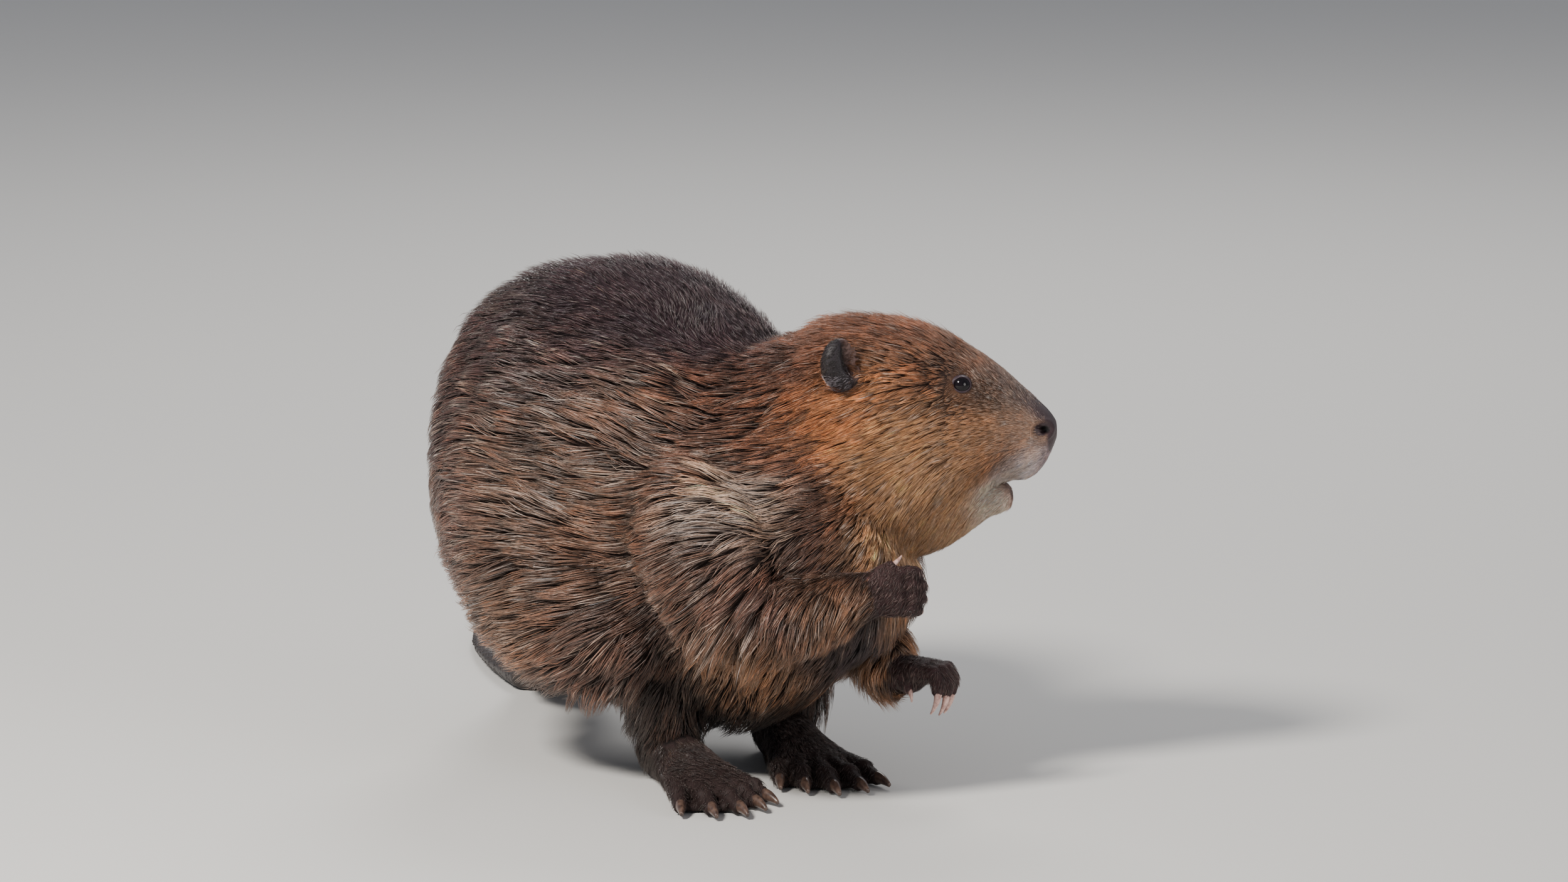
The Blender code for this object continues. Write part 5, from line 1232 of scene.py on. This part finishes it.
# ---------------------------------------------------------------- tufts as closed, flattened, three-sided spikes
def spikes(index, picks, widths):
    """Vertices of spikes: a point at the root, rings of three at the steps between, and a point at the tip."""
    c = curve[index][:, picks]
    m = len(index)
    k = len(picks)
    tangent = np.empty_like(c)
    tangent[:, 1:-1] = c[:, 2:] - c[:, :-2]
    tangent[:, 0] = c[:, 1] - c[:, 0]
    tangent[:, -1] = c[:, -1] - c[:, -2]
    tangent = normalise(tangent)
    nn = root_n[index][:, None]
    side = normalise(np.cross(tangent, nn) + 1e-7)
    roll = (RNG.standard_normal(m) * 0.35)[:, None, None]
    over = np.cross(side, tangent)
    side, over = side * np.cos(roll) + over * np.sin(roll), over * np.cos(roll) - side * np.sin(roll)
    wide = (r_wid[index] * 0.001 * (0.75 + 0.5 * RNG.random(m)))[:, None, None]
    rings = []
    rings.append(c[:, 0])
    for j in range(1, k - 1):
        ww = wide[:, 0] * widths[j - 1]
        hh = ww * 0.42
        rings += [c[:, j] - side[:, j] * ww * 0.5 - over[:, j] * hh * 0.4, c[:, j] + side[:, j] * ww * 0.5 - over[:, j] * hh * 0.4, c[:, j] + over[:, j] * hh * 0.6]
    rings.append(c[:, -1])
    return np.stack(rings, 1)


def spike_faces(rings):
    faces = [(0, 1 + (q + 1) % 3, 1 + q) for q in range(3)]
    for j in range(rings - 1):
        a = 1 + 3 * j
        for q in range(3):
            p = (q + 1) % 3
            faces += [(a + q, a + p, a + 3 + p), (a + q, a + 3 + p, a + 3 + q)]
    a, top = 3 * rings - 2, 3 * rings + 1
    for q in range(3):
        faces.append((a + q, a + (q + 1) % 3, top))
    return np.array(faces)


def build_mesh(name, groups):
    """groups: (vertices (m, v, 3), colours (m, v, 3), faces (f, 3), uv (m, v, 2)) -> one mesh."""
    vs, cs, fs, us, at = [], [], [], [], 0
    for verts, cols, faces, uvs in groups:
        m, v = verts.shape[:2]
        vs.append(verts.reshape(-1, 3))
        cs.append(cols.reshape(-1, 3))
        f = (faces[None] + (np.arange(m) * v)[:, None, None] + at).reshape(-1, 3)
        fs.append(f)
        us.append(uvs.reshape(-1, 2))
        at += m * v
    vs, cs, fs, us = np.concatenate(vs), np.concatenate(cs), np.concatenate(fs), np.concatenate(us)
    mesh = bpy.data.meshes.new(name)
    mesh.vertices.add(len(vs))
    mesh.vertices.foreach_set("co", vs.astype(np.float32).ravel())
    mesh.loops.add(len(fs) * 3)
    mesh.loops.foreach_set("vertex_index", fs.astype(np.int32).ravel())
    mesh.polygons.add(len(fs))
    mesh.polygons.foreach_set("loop_start", (np.arange(len(fs)) * 3).astype(np.int32))
    mesh.polygons.foreach_set("use_smooth", np.ones(len(fs), bool))
    mesh.update(calc_edges=True)
    layer = mesh.uv_layers.new(name="OFBake")
    layer.data.foreach_set("uv", us[fs.ravel()].astype(np.float32).ravel())
    colour = mesh.attributes.new("Col", "FLOAT_COLOR", "POINT")
    rgba = np.ones((len(vs), 4), np.float32)
    rgba[:, :3] = cs
    colour.data.foreach_set("color", rgba.ravel())
    mesh.validate()
    return mesh


long_ones = (r_len > LONG) & ~is_wool
FORMS = (
    (long_ones, (0, 2, 4, 6), (1.0, 0.82)),
    (~long_ones, (0, 2, 6), (1.0,)),
)
piece_of = RNG.integers(0, PIECES, n)
coat = []
for k in range(PIECES):
    groups = []
    for mask, picks, widths in FORMS:
        index = np.where(mask & (piece_of == k))[0]
        if not len(index):
            continue
        verts = spikes(index, list(picks), widths)
        at = np.array([0.0] + np.repeat(np.array([p / STEPS for p in picks[1:-1]]), 3).tolist() + [1.0])
        blend = step(0.05, 0.80, at)[None, :, None]
        # each tuft runs from its root colour to its tip colour; the dark roots are partly the underfur's own colour,
        # partly painted shade deep in the coat
        cols = base_colour[index][:, None] * (1 - blend) + tip[index][:, None] * blend
        m, v = verts.shape[:2]
        spread = np.zeros((v, 2))
        for j in range(1, v - 1):
            spread[j] = (((j - 1) % 3 - 1) * 0.0014, (at[j] - 0.5) * 0.0028)
        spread[0], spread[-1] = (0, -0.0014), (0, 0.0014)
        groups.append((verts, cols, spike_faces(len(picks) - 2), root_uv[index][:, None] + spread[None]))
    mesh = build_mesh(f"coat_{k + 1}", groups)
    coat.append(new_object(f"coat_{k + 1}", mesh))
print("tufts", n, "triangles", sum(len(o.data.polygons) for o in coat), "most", max(len(o.data.polygons) for o in coat))


# ---------------------------------------------------------------- materials
def nodes_of(name):
    m = bpy.data.materials.new(name)
    m.use_nodes = True
    t = m.node_tree
    return m, t, t.nodes["Principled BSDF"]


def add(t, kind, **values):
    node = t.nodes.new(kind)
    for key, value in values.items():
        if key in node.inputs:
            node.inputs[key].default_value = value
        else:
            setattr(node, key, value)
    return node


def coat_material():
    m, t, s_ = nodes_of("coat")
    col = add(t, "ShaderNodeAttribute", attribute_name="Col")
    where = add(t, "ShaderNodeTexCoord")
    fine = add(t, "ShaderNodeTexNoise", Scale=420.0, Detail=3.0, Roughness=0.6)
    ramp = add(t, "ShaderNodeMapRange")
    ramp.inputs["From Min"].default_value, ramp.inputs["From Max"].default_value = 0.3, 0.7
    ramp.inputs["To Min"].default_value, ramp.inputs["To Max"].default_value = 0.72, 1.28
    mult = add(t, "ShaderNodeVectorMath", operation="SCALE")
    bump = add(t, "ShaderNodeBump", Strength=0.25, Distance=0.0004)
    strands = add(t, "ShaderNodeTexNoise", Scale=1600.0, Detail=2.0)
    t.links.new(where.outputs["Object"], fine.inputs["Vector"])
    t.links.new(where.outputs["Object"], strands.inputs["Vector"])
    t.links.new(fine.outputs["Fac"], ramp.inputs["Value"])
    t.links.new(col.outputs["Color"], mult.inputs[0])
    t.links.new(ramp.outputs["Result"], mult.inputs["Scale"])
    t.links.new(mult.outputs["Vector"], s_.inputs["Base Color"])
    t.links.new(strands.outputs["Fac"], bump.inputs["Height"])
    t.links.new(bump.outputs["Normal"], s_.inputs["Normal"])
    s_.inputs["Roughness"].default_value = 0.34
    s_.inputs["Specular IOR Level"].default_value = 0.60
    s_.inputs["Sheen Weight"].default_value = 0.12
    s_.inputs["Sheen Roughness"].default_value = 0.4
    s_.inputs["Sheen Tint"].default_value = (1.0, 0.86, 0.72, 1)
    return m


def skin_material(name, scale, strength, distance, roughness, specular, variation=0.25, wrinkle=0.0, coat_weight=0.0):
    m, t, s_ = nodes_of(name)
    col = add(t, "ShaderNodeAttribute", attribute_name="Col")
    where = add(t, "ShaderNodeTexCoord")
    fine = add(t, "ShaderNodeTexNoise", Scale=scale, Detail=4.0, Roughness=0.6)
    cells = add(t, "ShaderNodeTexVoronoi", Scale=scale * 0.6, feature="DISTANCE_TO_EDGE")
    ramp = add(t, "ShaderNodeMapRange")
    ramp.inputs["From Min"].default_value, ramp.inputs["From Max"].default_value = 0.3, 0.7
    ramp.inputs["To Min"].default_value, ramp.inputs["To Max"].default_value = 1 - variation, 1 + variation
    mult = add(t, "ShaderNodeVectorMath", operation="SCALE")
    relief = add(t, "ShaderNodeMix", data_type="FLOAT")
    relief.inputs[0].default_value = wrinkle
    bump = add(t, "ShaderNodeBump", Strength=strength, Distance=distance)
    for node in (fine, cells):
        t.links.new(where.outputs["Object"], node.inputs["Vector"])
    t.links.new(fine.outputs["Fac"], ramp.inputs["Value"])
    t.links.new(col.outputs["Color"], mult.inputs[0])
    t.links.new(ramp.outputs["Result"], mult.inputs["Scale"])
    t.links.new(mult.outputs["Vector"], s_.inputs["Base Color"])
    t.links.new(fine.outputs["Fac"], relief.inputs[2])
    t.links.new(cells.outputs["Distance"], relief.inputs[3])
    t.links.new(relief.outputs[0], bump.inputs["Height"])
    t.links.new(bump.outputs["Normal"], s_.inputs["Normal"])
    s_.inputs["Roughness"].default_value = roughness
    s_.inputs["Specular IOR Level"].default_value = specular
    s_.inputs["Coat Weight"].default_value = coat_weight
    s_.inputs["Coat Roughness"].default_value = 0.35
    return m


coat_look = coat_material()
for obj in coat:
    obj.data.materials.append(coat_look)
    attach(obj, "root")

SKINS = [
    skin_material("under_coat", 700, 0.5, 0.0006, 0.85, 0.2, 0.3),
    skin_material("paw_skin", 520, 0.6, 0.0007, 0.68, 0.22, 0.30, wrinkle=0.55),
    skin_material("nose_skin", 900, 0.6, 0.0005, 0.50, 0.34, 0.24, wrinkle=0.7),
    skin_material("ear_skin", 800, 0.35, 0.0004, 0.55, 0.4, 0.3, wrinkle=0.2),
    skin_material("tail_skin", 330, 0.8, 0.0010, 0.45, 0.45, 0.22, wrinkle=0.85),
    skin_material("lid_skin", 1500, 0.35, 0.0003, 0.52, 0.28, 0.15, wrinkle=0.3),
]
for material in SKINS:
    skin.data.materials.append(material)

# colours of the skin: under the coat the roots' colours, darkened as painted shade between the tufts; where the hair is
# short the tips' colours, mixed darker with the roots'
co = points_of(skin.data)
P = design(co)
H = head_coords(P)
tree = KDTree(len(V))
for i, p in enumerate(V):
    tree.insert(p, i)
tree.balance()
near = np.array([tree.find(p)[1] for p in co])
names = v_name[near]
m_ = marks(P, H, on_head[near])
short = (1 - step(5.0, 12.0, m_[:, 6]))[:, None]
# the factor 0.70 and the dark mix are painted shade in the gaps between the tufts
colour = m_[:, 3:6] * 0.70 * (1 - short) + (m_[:, 0:3] * 0.45 + m_[:, 3:6] * 0.30) * short
is_ear = np.char.endswith(names, "_ear")
is_paw = np.char.find(names, "paw") >= 0
is_foot = np.char.find(names, "foot") >= 0
is_tail = names == "tail"
colour[is_ear] = srgb(28, 21, 26)
for side, sign in (("right", 1), ("left", -1)):          # the flap's back is black, its front rim brown, with two painted highlights where the lumps in its hollow catch the light
    a, f, r = ear_coords(P, side)
    mine = is_ear & (np.sign(H[:, 1]) == sign)
    rim = (step(-0.05, 0.45, a + 0.25 * (r < -0.4) * (r + 0.4)) * step(-0.75, -0.35, r) * mine * (f > -0.6))[:, None]
    colour = colour * (1 - rim) + srgb(104, 80, 74) * rim
    # painted highlights on the two lumps in the hollow
    ear_highlights = np.exp(-((a - 0.30) / 0.10) ** 2 - ((r - 0.30) / 0.07) ** 2) + np.exp(-((a - 0.60) / 0.11) ** 2 - ((r + 0.06) / 0.08) ** 2)
    ear_highlights = (np.clip(ear_highlights * 1.3, 0, 1) * mine * (f > 0))[:, None]
    colour = colour * (1 - ear_highlights) + srgb(206, 176, 170) * ear_highlights
colour[is_paw] = srgb(54, 36, 36)
colour[is_foot] = srgb(40, 29, 28)
colour[is_tail] = srgb(50, 44, 42)
p_share = pad_share(H)[:, None]
colour = colour * (1 - p_share) + srgb(58, 43, 45) * p_share
# painted shade: near black inside the nostril pits
nostril = np.hypot((H[:, 0] - 21.17 + 0.35 * (H[:, 2] - 22.92)) / 0.30, (H[:, 2] - 22.92) / 0.26)
dark = (1 - step(0.6, 1.3, nostril))[:, None] * (np.abs(H[:, 1])[:, None] > 0.8)
colour = colour * (1 - dark) + srgb(8, 5, 6) * dark
colour[skin_count:] = srgb(58, 46, 52)
rgba = np.ones((len(co), 4), np.float32)
rgba[:, :3] = colour
attribute = skin.data.attributes.new("Col", "FLOAT_COLOR", "POINT")
attribute.data.foreach_set("color", rgba.ravel())
kind = np.zeros(len(co), np.int32)
kind[is_paw | is_foot] = 1
kind[p_share[:, 0] > 0.5] = 2
kind[is_ear] = 3
kind[is_tail] = 4
kind[skin_count:] = 5
loop_start = np.empty(len(skin.data.polygons), np.int32)
skin.data.polygons.foreach_get("loop_start", loop_start)
loop_vertex = np.empty(len(skin.data.loops), np.int32)
skin.data.loops.foreach_get("vertex_index", loop_vertex)
skin.data.polygons.foreach_set("material_index", kind[loop_vertex[loop_start]])
skin.data.polygons.foreach_set("use_smooth", np.ones(len(skin.data.polygons), bool))
skin.data.update()
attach(skin, "root")
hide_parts(*FLESH)
print("skin triangles", len(triangles_of(skin.data)))
bpy.data.objects.remove(carrier)


# ---------------------------------------------------------------- tail: a pavement of low horny scales, above and below
def solid_object(name, verts, faces, colours, material):
    mesh = bpy.data.meshes.new(name)
    mesh.from_pydata(verts, [], faces)
    mesh.validate()
    attribute = mesh.attributes.new("Col", "FLOAT_COLOR", "POINT")
    rgba = np.ones((len(verts), 4), np.float32)
    rgba[:, :3] = colours
    attribute.data.foreach_set("color", rgba.ravel())
    mesh.materials.append(material)
    mesh.shade_smooth()
    obj = new_object(name, mesh)
    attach(obj, "root")
    return obj


SKIN_TREE = tree_of(points_of(skin.data)[:skin_count], [t for t in triangles_of(skin.data) if max(t) < skin_count])
swing = math.radians(TAIL_SWING)
BACK = Vector((-math.cos(swing), math.sin(swing), 0))
ACROSS = Vector((-BACK.y, BACK.x, 0))
scale_verts, scale_faces, scale_colours = [], [], []
TAIL_START = Vector((-24.6, 9.6, 0)) + BACK * 0.4
for above in (1, -1):
    for row in range(72):
        for column in range(-18, 19):
            along = row * 0.375
            across = (column + 0.5 * (row % 2)) * 0.43
            spot = TAIL_START + BACK * (along + 0.04 * noise.noise(Vector((along, across, 3.0)))) + ACROSS * (across + 0.05 * noise.noise(Vector((along, across, 9.0))))
            start = Vector(world((spot.x, spot.y, 6.0 if above > 0 else -3.0)))
            hit = SKIN_TREE.ray_cast(start, Vector((0, 0, -above)))
            if hit[0] is None:
                continue
            p, nn = Vector(design(np.array([hit[0]]))[0]), Vector(hit[1])
            if nn.z * above < 0.22:
                continue
            f = (BACK - nn * BACK.dot(nn)).normalized()
            g = nn.cross(f)
            size = 0.5 + 0.5 * min(1.0, 0.4 + 0.6 * nn.z * above)
            at = len(scale_verts)
            tint = 1 + 0.22 * noise.noise(Vector((along * 0.7, across * 0.7, above))) + RNG.normal(0, 0.07)
            for ring, (radius, height) in enumerate(((1.0, -0.030), (0.80, 0.034))):
                for k in range(6):
                    a = math.pi / 3 * k
                    x, y = math.cos(a) * 0.235 * radius * size, math.sin(a) * 0.235 * radius * size
                    q = p + f * x + g * y + nn * (height + (0.022 * math.cos(a) if ring else 0))
                    c = world(q)
                    scale_verts.append((c[0], c[1], max(c[2], 0.0002)))
                    # darker at each scale's foot, painted shade in the grooves, and lighter on its top, painted light
                    scale_colours.append(srgb(48, 42, 41) * tint * (0.55 if ring == 0 else 1.15))
            for k in range(6):
                m_k = (k + 1) % 6
                scale_faces.append((at + k, at + m_k, at + 6 + m_k, at + 6 + k))
            scale_faces.append(tuple(at + 6 + k for k in range(6)))
            scale_faces.append(tuple(at + k for k in range(5, -1, -1)))
scales = solid_object("tail_scales", scale_verts, scale_faces, np.array(scale_colours), SKINS[4])
print("scales", len(scale_verts) // 12)

# ---------------------------------------------------------------- whiskers: a few thin stiff hairs on each side of the muzzle
whisker_verts, whisker_faces = [], []
for sign in (1, -1):
    for k in range(18):
        s0, z0 = 18.7 + 0.42 * (k % 5) + RNG.normal(0, 0.08), 20.7 + 0.52 * (k // 5) + RNG.normal(0, 0.08)
        hit = SKIN_TREE.ray_cast(Vector(world(head_point(s0, sign * 9.0, z0))), -OUT * sign)
        if hit[0] is None:
            continue
        p = Vector(design(np.array([hit[0]]))[0])
        way = (-AHEAD * (0.80 + RNG.normal(0, 0.12)) + OUT * sign * (0.60 + RNG.normal(0, 0.10)) + UP * (0.10 * (z0 - 21.6) + RNG.normal(0, 0.10))).normalized()
        long_ = RNG.uniform(1.4, 3.0)
        at, count = len(whisker_verts), 6
        for j in range(count):
            share = j / (count - 1)
            q = p + way * (long_ * share) - UP * (0.20 * long_ * share * share) - AHEAD * (0.12 * long_ * share * share)
            side = way.cross(UP).normalized()
            lift = side.cross(way)
            radius = 0.014 * (1 - 0.85 * share)
            for i in range(3):
                a = 2 * math.pi * i / 3
                whisker_verts.append(tuple(world(q + side * (math.cos(a) * radius) + lift * (math.sin(a) * radius))))
        for j in range(count - 1):
            for i in range(3):
                a, b = at + 3 * j + i, at + 3 * j + (i + 1) % 3
                whisker_faces.append((a, b, b + 3, a + 3))
        whisker_faces += [(at + 2, at + 1, at), (at + 3 * count - 3, at + 3 * count - 2, at + 3 * count - 1)]
whiskers = solid_object("whiskers", whisker_verts, whisker_faces, np.array([srgb(46, 34, 32)] * len(whisker_verts)), coat_look)


# ---------------------------------------------------------------- eyes
def eye_material():
    m, t, s_ = nodes_of("eye")
    where = add(t, "ShaderNodeTexCoord")
    fine = add(t, "ShaderNodeTexNoise", Scale=900.0, Detail=4.0)
    ramp = add(t, "ShaderNodeValToRGB")
    ramp.color_ramp.elements[0].color = (0.0016, 0.0010, 0.0018, 1)
    ramp.color_ramp.elements[0].position = 0.35
    ramp.color_ramp.elements[1].color = (0.0085, 0.0045, 0.0070, 1)
    ramp.color_ramp.elements[1].position = 0.75
    t.links.new(where.outputs["Object"], fine.inputs["Vector"])
    t.links.new(fine.outputs["Fac"], ramp.inputs["Fac"])
    t.links.new(ramp.outputs["Color"], s_.inputs["Base Color"])
    s_.inputs["Roughness"].default_value = 0.10
    s_.inputs["Specular IOR Level"].default_value = 0.22
    s_.inputs["Coat Weight"].default_value = 0.22
    s_.inputs["Coat Roughness"].default_value = 0.02
    return m


eye_look = eye_material()
for side, sign in (("right", 1), ("left", -1)):
    centre, axis = Vector(head_point(EYE_S, sign * EYE_W, EYE_Z)), EYE_AXIS[side]
    across = unit(AHEAD - axis * axis.dot(AHEAD))
    up = axis.cross(across)
    bm = bmesh.new()
    bmesh.ops.create_uvsphere(bm, u_segments=56, v_segments=36, radius=1.0)
    for v in bm.verts:
        ahead = max(v.co.z, 0.0)
        r = EYE_R * (1 + 0.035 * ahead**6)
        v.co = world(centre + across * (v.co.x * r) + up * (v.co.y * r) + axis * (v.co.z * r))
    bmesh.ops.recalc_face_normals(bm, faces=bm.faces)
    mesh = bpy.data.meshes.new(f"{side}_eyeball")
    bm.to_mesh(mesh)
    bm.free()
    mesh.shade_smooth()
    mesh.materials.append(eye_look)
    obj = new_object(f"{side}_eyeball", mesh)
    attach(obj, "root")
    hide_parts(f"{side}_eye")


# ---------------------------------------------------------------- claws: curved horn, paler and pinker on the fore paws
def claw_material(name, dark, light):
    m, t, s_ = nodes_of(name)
    where = add(t, "ShaderNodeTexCoord")
    fine = add(t, "ShaderNodeTexNoise", Scale=300.0, Detail=4.0, Roughness=0.65)
    streaks = add(t, "ShaderNodeTexNoise", Scale=1500.0, Detail=2.0)
    ramp = add(t, "ShaderNodeValToRGB")
    ramp.color_ramp.elements[0].color = (*srgb(*dark), 1)
    ramp.color_ramp.elements[0].position = 0.34
    ramp.color_ramp.elements[1].color = (*srgb(*light), 1)
    ramp.color_ramp.elements[1].position = 0.64
    bump = add(t, "ShaderNodeBump", Strength=0.25, Distance=0.0003)
    t.links.new(where.outputs["Object"], fine.inputs["Vector"])
    t.links.new(where.outputs["Object"], streaks.inputs["Vector"])
    t.links.new(fine.outputs["Fac"], ramp.inputs["Fac"])
    t.links.new(ramp.outputs["Color"], s_.inputs["Base Color"])
    t.links.new(streaks.outputs["Fac"], bump.inputs["Height"])
    t.links.new(bump.outputs["Normal"], s_.inputs["Normal"])
    s_.inputs["Roughness"].default_value = 0.33
    s_.inputs["Coat Weight"].default_value = 0.25
    s_.inputs["Coat Roughness"].default_value = 0.2
    return m


fore_horn = claw_material("fore_horn", (150, 108, 100), (222, 184, 172))
hind_horn = claw_material("hind_horn", (54, 40, 36), (96, 76, 66))
for limb, look in (("right_fore", fore_horn), ("left_fore", fore_horn), ("right_hind", hind_horn), ("left_hind", hind_horn)):
    bm = bmesh.new()
    for k in range(1, 6):
        temporary = bpy.data.meshes.new("t")
        HORN[f"{limb}_{k}"].to_mesh(temporary)
        HORN[f"{limb}_{k}"].free()
        bm.from_mesh(temporary)
        bpy.data.meshes.remove(temporary)
    for v in bm.verts:
        v.co.z = max(v.co.z, 0.0003)
    mesh = bpy.data.meshes.new(f"{limb}_claws")
    bm.to_mesh(mesh)
    bm.free()
    obj = new_object(f"{limb}_claws", mesh)
    obj.data.materials.append(look)
    obj.data.shade_smooth()
    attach(obj, "root")
    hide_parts(*[x for x in CLAWS if x.startswith(limb)])
